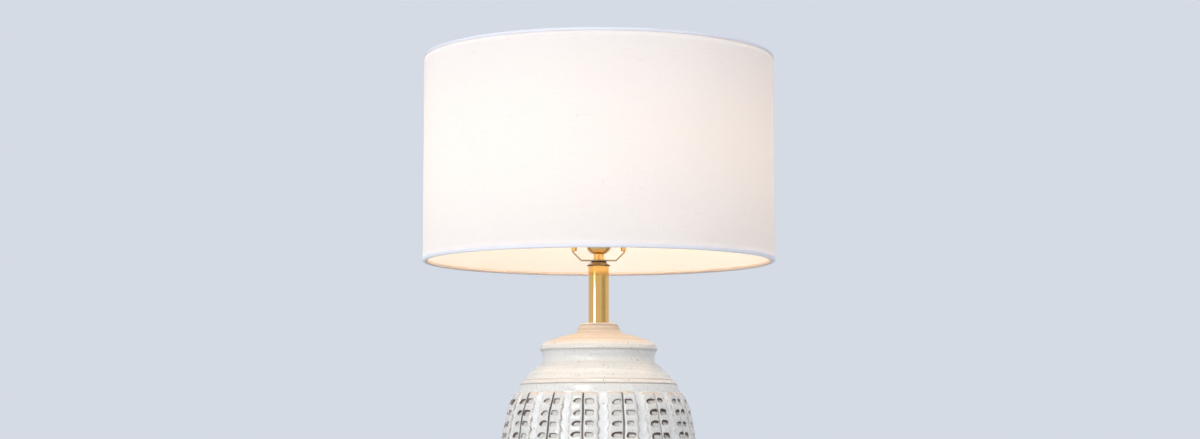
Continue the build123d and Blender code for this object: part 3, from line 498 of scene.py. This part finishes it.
# ---------------------------------------------------------------- mesh helpers
def grid_mesh(name, rows, material, closed_rows=True, attributes=None):
    """A closed surface from rings of points: rows is (rings, points, 3) in metres."""
    rings, points = rows.shape[:2]
    index = np.arange(rings * points).reshape(rings, points)
    nxt = np.roll(index, -1, axis=1)
    if closed_rows:
        up, up_nxt = np.roll(index, -1, axis=0), np.roll(nxt, -1, axis=0)
    else:
        up, up_nxt = index[1:], nxt[1:]
        index, nxt = index[:-1], nxt[:-1]
    quads = np.stack([index, nxt, up_nxt, up], axis=-1).reshape(-1, 4)
    verts = rows.reshape(-1, 3)
    a, b, c, d = (verts[quads[:, i]] for i in range(4))
    volume = np.einsum("ij,ij->i", a, np.cross(b, c)).sum() + np.einsum("ij,ij->i", a, np.cross(c, d)).sum()
    if volume < 0:
        quads = quads[:, ::-1]
    mesh = bpy.data.meshes.new(name)
    mesh.vertices.add(len(verts))
    mesh.vertices.foreach_set("co", verts.astype(np.float32).ravel())
    mesh.loops.add(quads.size)
    mesh.loops.foreach_set("vertex_index", quads.astype(np.int32).ravel())
    mesh.polygons.add(len(quads))
    mesh.polygons.foreach_set("loop_start", np.arange(0, quads.size, 4, dtype=np.int32))
    mesh.polygons.foreach_set("loop_total", np.full(len(quads), 4, np.int32))
    mesh.update(calc_edges=True)
    mesh.validate()
    for key, values in (attributes or {}).items():
        layer = mesh.attributes.new(key, "FLOAT", "POINT")
        layer.data.foreach_set("value", values.astype(np.float32).ravel())
    mesh.polygons.foreach_set("use_smooth", np.ones(len(mesh.polygons), bool))
    mesh.materials.append(material)
    made = bpy.data.objects.new(name, mesh)
    scene.collection.objects.link(made)
    return made


def smoothstep(x, low, high):
    s = np.clip((x - low) / (high - low), 0.0, 1.0)
    return s * s * (3 - 2 * s)


def curve_through(points, count):
    """Centripetal Catmull-Rom through (radius, height) points, spread evenly along its length."""
    p = np.array(points, float)
    p = np.vstack([2 * p[0] - p[1], p, 2 * p[-1] - p[-2]])
    fine = []
    for i in range(1, len(p) - 2):
        p0, p1, p2, p3 = p[i - 1 : i + 3]
        t0 = 0.0
        t1 = t0 + np.sqrt(np.linalg.norm(p1 - p0))
        t2 = t1 + np.sqrt(np.linalg.norm(p2 - p1))
        t3 = t2 + np.sqrt(np.linalg.norm(p3 - p2))
        t = np.linspace(t1, t2, 24, endpoint=False)[:, None]
        a1 = (t1 - t) / (t1 - t0) * p0 + (t - t0) / (t1 - t0) * p1
        a2 = (t2 - t) / (t2 - t1) * p1 + (t - t1) / (t2 - t1) * p2
        a3 = (t3 - t) / (t3 - t2) * p2 + (t - t2) / (t3 - t2) * p3
        b1 = (t2 - t) / (t2 - t0) * a1 + (t - t0) / (t2 - t0) * a2
        b2 = (t3 - t) / (t3 - t1) * a2 + (t - t1) / (t3 - t1) * a3
        fine.append((t2 - t) / (t2 - t1) * b1 + (t - t1) / (t2 - t1) * b2)
    fine = np.vstack(fine + [p[-2][None]])
    steps = np.r_[0.0, np.cumsum(np.linalg.norm(np.diff(fine, axis=0), axis=1))]
    at = np.linspace(0.0, steps[-1], count)
    return np.stack([np.interp(at, steps, fine[:, 0]), np.interp(at, steps, fine[:, 1])], axis=1)


# ---------------------------------------------------------------- the carved stoneware body
LOWER = [
    (77.5, 14.0), (76.2, 20.0), (76.6, 27.0), (79.0, 37.0), (84.4, 52.0), (92.2, 69.0), (101.0, 88.0), (109.0, 108.5), (115.4, 131.0),
    (119.8, 155.0), (122.4, 180.0), (123.2, 205.0), (122.5, 228.0), (120.8, 246.0), (118.5, 262.0), (115.2, 279.3), (111.9, 296.0),
    (108.2, 306.5), (103.6, 315.0),
]
SHOULDER = [(103.6, 315.0), (99.9, 319.0), (98.0, 323.6), (96.2, 328.2), (90.4, 334.6), (84.9, 340.8), (79.8, 345.8), (74.9, 350.6)]
WAIST = [(74.9, 350.6), (71.4, 353.4), (69.4, 356.6), (68.8, 360.2), (69.4, 364.0), (70.7, 368.4)]
FLANGE = [(72.3, 370.6), (72.4, 372.6), (70.9, 375.3), (68.4, 377.8), (64.6, 380.1), (57.6, 382.6), (48.0, 386.0), (36.6, 389.0)]
COLLAR = [(36.6, 389.0), (30.4, 390.4), (27.2, 392.2), (25.8, 394.8), (25.2, 397.2), (24.5, 399.0), (22.4, 401.4), (19.6, 403.0)]
INSIDE = [
    (18.0, 384.5), (48.0, 376.5), (61.0, 361.0), (62.4, 353.5), (78.0, 335.0), (95.8, 308.0), (110.6, 262.0), (115.8, 205.0),
    (112.4, 156.0), (93.8, 90.0), (68.4, 27.0),
]
ROW_PITCH, FIRST_CUT, CUT_ROWS = 13.4, 308.9, 14
COLUMNS, COLUMN_W = 16, 43.2
HALF_GRID = [-18.4, -16.8, -15.6, -14.2, -12.9, -11.7, -9.6, -7.0, -4.6, -3.1, -1.9, -0.9]
ACROSS = np.array([-21.6] + HALF_GRID + [0.0] + [-v for v in HALF_GRID[::-1]])  # millimetres from a column's line, at its middle height
CELL = np.array([0.0, 0.055, 0.12, 0.22, 0.34, 0.46, 0.58, 0.76, 0.93])
LINE_INK = (1.0, 1.0, 1.0, 0.97, 0.85, 0.5, 0.8)
LINE_WIDE = (1.7, 1.8, 1.35, 1.15, 1.2, 0.9, 1.0)


def radius_at(z):
    outline = curve_through(LOWER + SHOULDER[1:], 1200)
    return np.interp(z, outline[:, 1], outline[:, 0])


def build_body():
    # where each column's scored line runs, a little uneven as cut by hand
    drift = rng.uniform(-1.3, 1.3, COLUMNS)
    drift[:] = (-0.3, 0.4, 0.2, -0.9, 1.4, 3.2, 1.8, 0.0, 1.1, 0.9, 0.6, -1.0, 1.0, 0.9, -0.9, 0.3)
    centres = -76.4 + 22.5 * np.arange(COLUMNS) + drift
    before = np.roll(centres, 1)
    before[0] -= 360.0
    after = np.roll(centres, -1)
    after[-1] += 360.0
    start, stop = (before + centres) / 2, (centres + after) / 2
    across = np.tile(ACROSS, COLUMNS)
    f = 0.5 + across / COLUMN_W
    column = np.repeat(np.arange(COLUMNS), len(ACROSS))
    angle = np.where(f < 0.5, start[column] + (centres - start)[column] * f / 0.5, centres[column] + (stop - centres)[column] * (f - 0.5) / 0.5)
    hand = (across > 0).astype(int)
    out = np.abs(across)
    points = len(f)
    both = (CUT_ROWS, COLUMNS, 2)

    # one hand-pressed cut: its ends, height, corners, lean, depth and how much slip it holds
    leafy = np.zeros(both)
    leafy[:, 5:7, :] = 1.0
    leafy[:, 9, :] = 1.0
    leafy[:, 13:15, :] = 1.0
    is_right = np.zeros(both)
    is_right[:, :, 1] = 1.0
    end_in = rng.uniform(2.3, 3.3, both) + 0.2 * is_right
    end_out = rng.uniform(10.8, 13.0, both) + is_right * rng.uniform(-0.6, 1.0, both)
    tall = rng.uniform(5.0, 6.9, both)
    curl = np.where(is_right + leafy > 0.5, rng.uniform(1.3, 3.6, both), rng.uniform(3.6, 5.4, both)) + leafy * rng.uniform(1.6, 2.6, both)
    curl = np.minimum(curl, tall * 0.86)
    round_in = rng.uniform(0.7, 1.6, both)
    round_low_in = np.where(is_right > 0.5, rng.uniform(0.8, 2.4, both), rng.uniform(0.8, 1.6, both))
    round_low_out = rng.uniform(0.7, 1.5, both)
    top_shift = rng.uniform(-0.85, 0.85, both)
    lean = np.radians(rng.uniform(-7.0, 6.0, both))
    deep = rng.uniform(2.3, 3.7, both) * (1 + 0.2 * leafy)
    slip = np.clip(rng.uniform(0.42, 1.0, both) + 0.35 * leafy, 0, 1.2)
    blob = rng.uniform(0.2, 1.0, both)
    edge_jitter = rng.uniform(-0.5, 0.5, both)
    line_ink = np.r_[LINE_INK, rng.uniform(0.5, 1.0, COLUMNS - len(LINE_INK))][column]
    line_depth = rng.uniform(0.8, 1.15, COLUMNS)[column]
    line_wide = np.r_[LINE_WIDE, rng.uniform(1.0, 1.5, COLUMNS - len(LINE_WIDE))][column]
    # the right-hand edges of the panels get the heavier dark line: painted shadow as well as slip
    edge_slip_and_shadow = np.where(is_right > 0.5, rng.uniform(0.45, 1.0, both), rng.uniform(0.05, 0.4, both))

    def one_cut(row, z):
        """Signed distance to a row's cuts, and where in the cut a point lies: 0 to 1 from the line out, 0 to 1 from the top down."""
        pick = (row, column, hand)
        half_x, half_y = (end_out[pick] - end_in[pick]) / 2, tall[pick] / 2
        x = out - (end_in[pick] + end_out[pick]) / 2
        y = FIRST_CUT - ROW_PITCH * row + top_shift[pick] - z - half_y
        c, n = np.cos(lean[pick]), np.sin(lean[pick])
        x, y = c * x - n * y, n * x + c * y
        corner = np.where(y < 0, np.where(x > 0, curl[pick], round_in[pick]), np.where(x > 0, round_low_out[pick], round_low_in[pick]))
        qx, qy = np.abs(x) - half_x + corner, np.abs(y) - half_y + corner
        gap = np.minimum(np.maximum(qx, qy), 0.0) + np.hypot(np.maximum(qx, 0.0), np.maximum(qy, 0.0)) - corner
        return gap, 0.5 + x / (2 * half_x), 0.5 + y / (2 * half_y)

    rings, height, turn = [], [], []
    paint = {key: [] for key in ("clay", "dark", "cream", "cut", "ink", "score", "score_ink", "rim", "rim_ink")}
    plain = {"clay": 0.0, "dark": 0.0, "cream": 0.0, "cut": 4.0, "ink": 0.0, "score": 6.0, "score_ink": 0.0, "rim": -4.0, "rim_ink": 0.0}

    def add(r, z, h=0.0, dz=0.0, way=0.0, **look):
        full = np.zeros(points)
        rings.append(full + r + h)
        height.append(full + z + dz)
        turn.append(full + way)
        for key, value in plain.items():
            paint[key].append(full + look.get(key, value))

    # foot and plain lower wall, with the two incised rings
    add(69.0, 3.0, clay=1.0)
    add(76.6, 3.0, clay=1.0)
    add(77.5, 3.9, clay=0.9)
    low = curve_through(LOWER, 2000)
    for z in (13.0, 16.0, 20.0, 27.0, 37.0, 50.0, 66.0, 84.0, 102.0):
        add(np.interp(z, low[:, 1], low[:, 0]) if z > 14 else 77.5, z, clay=0.8 if z < 15 else 0.0)
    for z in (108.5, 113.5):
        r = np.interp(z, low[:, 1], low[:, 0])
        add(r - 0.35, z - 1.0, clay=0.3)
        add(r - 1.0, z, dark=0.5)
        add(r + 0.35, z + 1.0, clay=0.4)

    # the carved band, from its lower edge up
    wobble_phase = rng.uniform(0, 6.28, (COLUMNS, 2))

    def wobble(z):
        sway = 0.32 * np.sin(z * 0.052 + wobble_phase[:, 0]) + 0.18 * np.sin(z * 0.17 + wobble_phase[:, 1])
        return sway[column] * np.sin(np.pi * f)

    def groove(share=1.0):
        return np.interp(out, [0.0, 0.9, 1.9, 3.1], [-2.3, -1.5, -0.1, 0.0]) * line_depth * (0.45 + 0.55 * line_ink) * share

    lobe = 1.0 - ((out - 7.6) / 8.2) ** 2  # each half of a panel ends in its own rounded lip
    ragged = rng.uniform(-0.9, 0.9, (COLUMNS, 2))[column, hand]
    bottom = FIRST_CUT - ROW_PITCH * CUT_ROWS
    panel = smoothstep(16.4 - out, -1.2, 1.0)
    for z, rise in ((bottom - 4.6, 0.0), (bottom - 3.7, 0.75), (bottom - 2.4, 1.0)):
        h = (-2.6 * (1 - panel)) * rise + groove(rise)
        add(float(radius_at(z)) - 2.0 * (1 - rise), z, h=h, dz=-(lobe * 0.8 + ragged * 0.5) * panel, way=wobble(z), clay=0.5 * panel * rise * (rise < 1),
            score=out / line_wide, score_ink=line_ink * rise, rim=16.4 - out if rise else -4.0)
    for row in range(CUT_ROWS - 1, -1, -1):
        for at in range(len(CELL) - 1, -1, -1):
            v = CELL[at]
            z = FIRST_CUT - ROW_PITCH * (row + v)
            near = min(row + 1, CUT_ROWS - 1) if v > 0.5 else row
            pick = (near, column, hand)
            # rows of the mesh follow the top edge of the nearest cut, down round its outer end
            swing = 0.5 + 0.5 * math.cos(2 * math.pi * v)
            inside = smoothstep(out, 1.6, 3.4) * (1 - smoothstep(out, end_out[pick] + 0.4, end_out[pick] + 2.4))
            bend = np.clip((out - (end_out[pick] - curl[pick])) / curl[pick], 0.0, 1.0)
            fall = curl[pick] * (1 - np.sqrt(1 - np.minimum(bend, 0.995) ** 2)) * 0.62
            slope = -np.tan(lean[pick]) * (out - 7.4)
            dz = swing * inside * (top_shift[pick] + slope - fall)
            zz = z + dz
            gap, x, y = one_cut(row, zz)
            if row + 1 < CUT_ROWS:
                gap_b, x_b, y_b = one_cut(row + 1, zz)
                lower = gap_b < gap
                gap, x, y = np.where(lower, gap_b, gap), np.where(lower, x_b, x), np.where(lower, y_b, y)
                own = (np.where(lower, row + 1, row), column, hand)
            else:
                own = (np.full(points, row), column, hand)
            # a cut is steep at its top and runs out below; the bars between swell
            wall = smoothstep(-gap, -0.1, 1.0)
            floor_at = np.clip(y, 0.0, 1.0)
            depth = deep[own] * wall * (1 - 0.74 * floor_at**1.3)
            burr = 0.28 * np.exp(-(((gap - 0.7) / 0.7) ** 2))
            edge = 16.3 + 0.75 * math.cos(2 * math.pi * (v - 0.74)) + edge_jitter[pick]
            panel = smoothstep(edge - out, -1.2, 1.0)
            swell = 0.75 * smoothstep(gap, 0.4, 3.4) * smoothstep(edge - out, 0.5, 3.5) * smoothstep(out, 1.6, 4.0)
            h = -2.6 * (1 - panel) - depth * panel + (burr + swell) * panel + groove()
            right = hand == 1
            # the slip runs heaviest along each cut's top edge, where it is also painted shadow under the overhang
            top = 1 - smoothstep(y, 0.2, 0.62)
            outer = smoothstep(x, 0.62, 0.9) * (1 - smoothstep(y, 0.7, 1.05))
            inner = (1 - smoothstep(x, 0.06, 0.3)) * (1 - smoothstep(y, 0.6, 1.1))
            corner = np.where(right, np.exp(-(((x - 0.04) / 0.16) ** 2) - ((y - 0.78) / 0.3) ** 2), np.exp(-(((x - 0.96) / 0.15) ** 2) - ((y - 0.62) / 0.32) ** 2))
            look = np.maximum.reduce([0.78 * top, np.where(right, 0.45, 0.95) * outer, np.where(right, 0.85, 0.2) * inner, np.full(points, 0.22)])
            look = np.clip(look * slip[own] + 0.75 * corner * blob[own], 0.0, 1.25)
            add(float(radius_at(z)), z, h=h, dz=dz, way=wobble(z), cut=np.clip(gap, -4.0, 4.0), ink=look * panel, score=out / line_wide,
                rim_ink=edge_slip_and_shadow[pick] * (0.35 + 0.65 * (0.5 + 0.5 * math.cos(2 * math.pi * (v - 0.66)))),
                score_ink=line_ink * float(np.clip(1.04 - 0.03 * row, 0.72, 1.0)), rim=np.clip(edge - out, -4.0, 4.0))
    panel = smoothstep(16.4 - out, -1.2, 1.0)
    for z, rise, clay, share in ((310.8, 1.0, 0.0, 1.0), (313.0, 1.0, 0.08, 1.0), (314.8, 0.97, 0.55, 1.0), (315.9, 0.72, 0.9, 0.6), (316.7, 0.12, 0.5, 0.1)):
        h = -2.6 * (1 - panel) * min(rise + 0.15, 1.0) + groove(share) - (1 - rise) * 1.7
        h = h + (0.6 * panel if 312 < z < 316.4 else 0.0)
        lift = (lobe * 0.95 + 0.55 * ragged - 0.4) * panel
        add(float(radius_at(z)), z, h=h, dz=lift * (0.4 if z < 312 else 1.0), way=wobble(z), clay=clay * panel, score=out / line_wide, score_ink=line_ink * share,
            rim=np.clip(16.4 - out, -4.0, 4.0) if share > 0.5 else -4.0)

    # plain collar of glaze, the two incised rings and the shoulder
    upper_rows = [(317.7, -0.9, 0.0, 0.0, 0.0), (319.4, -0.1, 0.0, 0.0, 0.0), (321.6, 0.0, 0.0, 0.0, 0.0), (324.0, 0.0, 0.0, 0.0, 0.12),
                  (326.2, 0.05, 0.0, 0.0, 0.3), (327.0, -0.3, 0.15, 0.25, 0.5), (327.6, -0.95, 0.0, 0.60, 0.6), (328.3, 0.1, 0.4, 0.0, 0.9), (329.6, 0.2, 0.22, 0.0, 1.0),
                  (331.3, 0.1, 0.18, 0.0, 1.0), (332.0, -0.3, 0.5, 0.10, 1.0), (332.6, -0.75, 0.7, 0.18, 1.0), (333.3, 0.0, 0.5, 0.0, 1.0), (334.6, 0.1, 0.18, 0.0, 1.0)]
    for z, h, c, d, w in upper_rows:
        add(float(radius_at(z)), z, h=h, clay=c, dark=d, cream=w)
    for r, z in curve_through([(90.4, 334.6), (84.9, 340.8), (79.8, 345.8), (74.9, 350.6)], 11)[1:-1]:
        ripple = 0.16 * math.sin(z * 2.3) + 0.09 * math.sin(z * 5.1 + 1.0)
        add(r, z, h=ripple, clay=0.10 + 0.06 * math.sin(z * 2.3), cream=1.0)
    for r, z in curve_through(WAIST, 9)[:-1]:
        add(r, z, cream=float(1.0 - 0.88 * smoothstep(np.array(z), 352.0, 359.5)), dark=0.02)
    # crisp underside of the lip, glazed edge, then bare clay to the collar; the dark on the lip's underside is painted
    # shade
    add(70.55, 368.7, dark=0.10)
    add(71.5, 369.45, clay=0.10, dark=0.42)
    add(72.25, 369.85, clay=0.25, dark=0.08)
    for r, z in curve_through([(72.5, 370.3), (72.5, 371.7), (72.15, 373.3)] + FLANGE[2:], 38)[:-1]:
        part = float(smoothstep(np.array(z), 373.0, 383.5))
        scratch = 0.24 * math.exp(-((r - 58.0) ** 2) / 1.1) + 0.15 * math.exp(-((r - 46.0) ** 2) / 1.3)
        add(r, z - scratch, h=0.06 * math.sin(r * 2.1), clay=0.13 + 0.87 * part, cream=0.4 + 0.5 * part, dark=0.9 * scratch)
    for r, z in curve_through(COLLAR, 30)[:-1]:
        scratch = math.exp(-((z - 400.2) ** 2) / 0.5) + 0.35 * math.exp(-((z - 395.4) ** 2) / 0.4)
        bright = float(smoothstep(np.array(z), 400.9, 401.9))  # the turned edge is paler
        add(r - 0.3 * scratch, z, clay=0.96 - 0.2 * bright, cream=1.0, dark=0.54 * scratch)
    add(18.8, 403.2, clay=0.9, cream=1.0)
    add(13.0, 403.2, clay=1.0, cream=1.0)
    add(13.0, 401.0, clay=1.0, cream=1.0)
    add(6.5, 401.0, clay=1.0, cream=1.0)
    add(6.5, 384.5, clay=1.0)
    for r, z in INSIDE:
        add(r, z, clay=1.0)
    add(46.0, 24.0, clay=1.0)
    add(46.0, 15.0, clay=1.0)
    add(69.0, 15.0, clay=1.0)

    ring, up = np.array(rings), np.array(height)
    paint = {key: np.array(values) for key, values in paint.items()}
    # length along the outline, for the marks the wheel leaves
    steps = np.hypot(np.diff(np.median(ring, axis=1)), np.diff(np.median(up, axis=1)))
    paint["along"] = np.r_[0.0, np.cumsum(steps)][:, None] + np.zeros(points)
    at = np.radians(angle[None, :] + np.array(turn))
    # the wheel leaves the wall a little out of round
    ring = ring + np.where((ring > 30) & (up > 20), 0.22 * np.sin(2 * at + 0.6) + 0.12 * np.sin(3 * at), 0.0)
    rows = np.stack([ring * np.sin(at), -ring * np.cos(at), up], axis=-1) / 1000.0
    return rows, paint


body_rows, body_paint = build_body()
body = grid_mesh("stoneware_body", body_rows, mats["stoneware"], True, body_paint)


def cutter(name, radius, y0, y1, z, segments=48):
    turn = np.linspace(0, 2 * np.pi, segments, endpoint=False)
    ring = np.stack([radius * np.cos(turn), np.zeros(segments), z + radius * np.sin(turn)], axis=-1)
    verts = np.vstack([ring + [0, y0, 0], ring + [0, y1, 0]])
    faces = [tuple(range(segments)), tuple(range(2 * segments - 1, segments - 1, -1))]
    faces += [((i + 1) % segments, i, segments + i, segments + (i + 1) % segments) for i in range(segments)]
    mesh = bpy.data.meshes.new(name)
    mesh.from_pydata((verts / 1000.0).tolist(), [], faces)
    made = bpy.data.objects.new(name, mesh)
    scene.collection.objects.link(made)
    return made


def cut_away(target, tool):
    """Cuts tool out of target and keeps the result as target's own mesh."""
    step = target.modifiers.new("cut", "BOOLEAN")
    step.operation = "DIFFERENCE"
    step.solver = "EXACT"
    step.object = tool
    graph = bpy.context.evaluated_depsgraph_get()
    result = bpy.data.meshes.new_from_object(target.evaluated_get(graph))
    target.modifiers.clear()
    old = target.data
    target.data = result
    bpy.data.meshes.remove(old)
    bpy.data.objects.remove(tool)


# the cord's inlet: a spot face and a hole low on the back wall
cut_away(body, cutter("spot_cut", 9.2, 75.5, 100.0, 36.0))
cut_away(body, cutter("hole_cut", 6.3, 50.0, 90.0, 36.0))
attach(body, "base")
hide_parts("ceramic_body")


# ---------------------------------------------------------------- cloth of the shade
def ring_profile(name, profile, material, count=320, ripple=None):
    """A closed ring turned from a closed outline of (radius, height) in millimetres."""
    turn = np.linspace(0, 2 * np.pi, count, endpoint=False)
    outline = np.array(profile, float)
    r = outline[:, 0][:, None] + np.zeros(count)
    z = outline[:, 1][:, None] + np.zeros(count)
    if ripple is not None:
        r = r + ripple(turn[None, :], z)
    rows = np.stack([r * np.sin(turn), -r * np.cos(turn), z], axis=-1) / 1000.0
    return grid_mesh(name, rows, material, True)


SHADE_LOW, SHADE_HIGH = 477.8, 731.8


def cloth_ripple(turn, z):
    slack = 0.10 * np.sin(5 * turn + 0.4) + 0.07 * np.sin(11 * turn + z * 0.02)
    lap = np.abs(turn - np.pi) * 215.9  # the glued lap down the back
    return slack * 0.5 + 0.42 * (1 - smoothstep(lap, 5.4, 6.6))


levels = np.linspace(SHADE_LOW + 0.6, SHADE_HIGH - 0.6, 26)
cloth_outline = [(215.88, z) for z in levels] + [(215.42, z) for z in levels[::-1]]
cloth = ring_profile("linen_cloth", cloth_outline, mats["linen"], 720, lambda a, z: cloth_ripple(a, z))
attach(cloth, "shade")
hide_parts("shade_linen")


def folded_tape(rim, inward):
    """Outline of the tape over a rim: outer leg, rounded fold over the wire, inner leg. inward is +1 at the lower rim, -1 at the upper."""
    outer = [(216.45, 3.95), (216.5, 3.4), (216.55, 2.0), (216.45, 1.1), (215.9, 0.35), (214.6, 0.0), (212.4, 0.0), (211.2, 0.3), (210.4, 1.1), (210.0, 2.0), (209.9, 3.8)]
    inner = [(210.35, 3.9), (210.5, 2.2), (210.9, 1.3), (211.5, 0.7), (212.6, 0.45), (214.4, 0.45), (215.55, 0.75), (216.0, 1.4), (216.08, 2.2), (216.05, 3.85)]
    return [(r, rim + inward * z) for r, z in outer + inner]


for name, rim, way, look, old in (
    ("tape_lower", SHADE_LOW, 1, "tape_bottom", "shade_bottom_trim"),
    ("tape_upper", SHADE_HIGH, -1, "tape_top", "shade_top_trim"),
):
    band = ring_profile(name, folded_tape(rim, way), mats[look], 480, lambda a, z: 0.05 * np.sin(23 * a) + 0.04 * np.sin(57 * a + 1.0))
    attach(band, "shade")
    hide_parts(old)

# ---------------------------------------------------------------- felt under the foot
felt_outline = [(69.7, 0.35), (70.1, 0.0), (76.3, 0.0), (76.8, 0.4), (76.95, 1.4), (76.85, 2.7), (76.5, 2.98), (70.0, 2.98), (69.65, 2.6)]
pad = ring_profile("felt_ring", felt_outline, mats["felt"], 300, lambda a, z: np.where(z > 0.2, 0.12 * np.sin(91 * a) + 0.1 * np.sin(53 * a + z), 0.0))
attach(pad, "base")
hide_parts("foot_felt")

# ---------------------------------------------------------------- floor, sky and lamps
floor_mesh = bpy.data.meshes.new("floor")
floor_mesh.from_pydata([(-9, -9, 0), (9, -9, 0), (9, 9, 0), (-9, 9, 0)], [], [(0, 1, 2, 3)])
floor = bpy.data.objects.new("floor", floor_mesh)
scene.collection.objects.link(floor)
floor_mat, ft = new_material("floor_paper")
floor_shader = principled(ft, Roughness=0.75)
link(ft, mix_color(ft, noise(ft, place(ft), 3.0, 3.0), (0.66, 0.68, 0.71), (0.70, 0.72, 0.745)), floor_shader.inputs["Base Color"])
floor_mesh.materials.append(floor_mat)

world = bpy.data.worlds.new("world")
scene.world = world
world.use_nodes = True
wt = world.node_tree
wt.nodes.clear()
sky = wt.nodes.new("ShaderNodeBackground")
sky_out = wt.nodes.new("ShaderNodeOutputWorld")
way = wt.nodes.new("ShaderNodeTexCoord").outputs["Generated"]
dot = wt.nodes.new("ShaderNodeVectorMath")
dot.operation = "DOT_PRODUCT"
dot.inputs[1].default_value = (0.84, -0.545, 0.0)
link(wt, way, dot.inputs[0])
dim = ramp(wt, dot.outputs["Value"], [(0.86, 0.0), (0.97, 1.0)])
link(wt, mix_color(wt, dim, (0.665, 0.708, 0.783), (0.43, 0.435, 0.45)), sky.inputs["Color"])
link(wt, sky.outputs[0], sky_out.inputs["Surface"])


def soft_box(name, place_at, aim, size, size_y, watts, tint):
    data = bpy.data.lights.new(name, "AREA")
    data.shape = "RECTANGLE"
    data.size, data.size_y = size, size_y
    data.energy = watts
    data.color = tint
    lamp = bpy.data.objects.new(name, data)
    scene.collection.objects.link(lamp)
    lamp.location = place_at
    direction = [b - a for a, b in zip(place_at, aim)]
    yaw = math.atan2(direction[0], direction[1])
    pitch = math.atan2(direction[2], math.hypot(direction[0], direction[1]))
    lamp.rotation_euler = (math.pi / 2 + pitch, 0.0, -yaw)
    return lamp


soft_box("key", (-1.2, -2.45, 1.9), (0, 0, 0.5), 1.1, 1.1, 30.1, (0.955, 0.98, 1.0))
for strip in (
    soft_box("strip", (-2.12, -1.98, 0.425), (0, 0, 0.425), 0.6, 0.43, 2.0, (1.0, 0.985, 0.965)),
    soft_box("strip_right", (2.1, -2.0, 0.32), (0, 0, 0.32), 0.7, 0.28, 0.55, (1.0, 0.985, 0.965)),
):
    strip.data.spread = math.radians(70)  # a gridded box, so that it does not flood the floor
soft_box("fill", (2.0, -2.1, 2.0), (0, 0, 0.5), 1.2, 1.2, 8.7, (0.98, 0.98, 1.0))
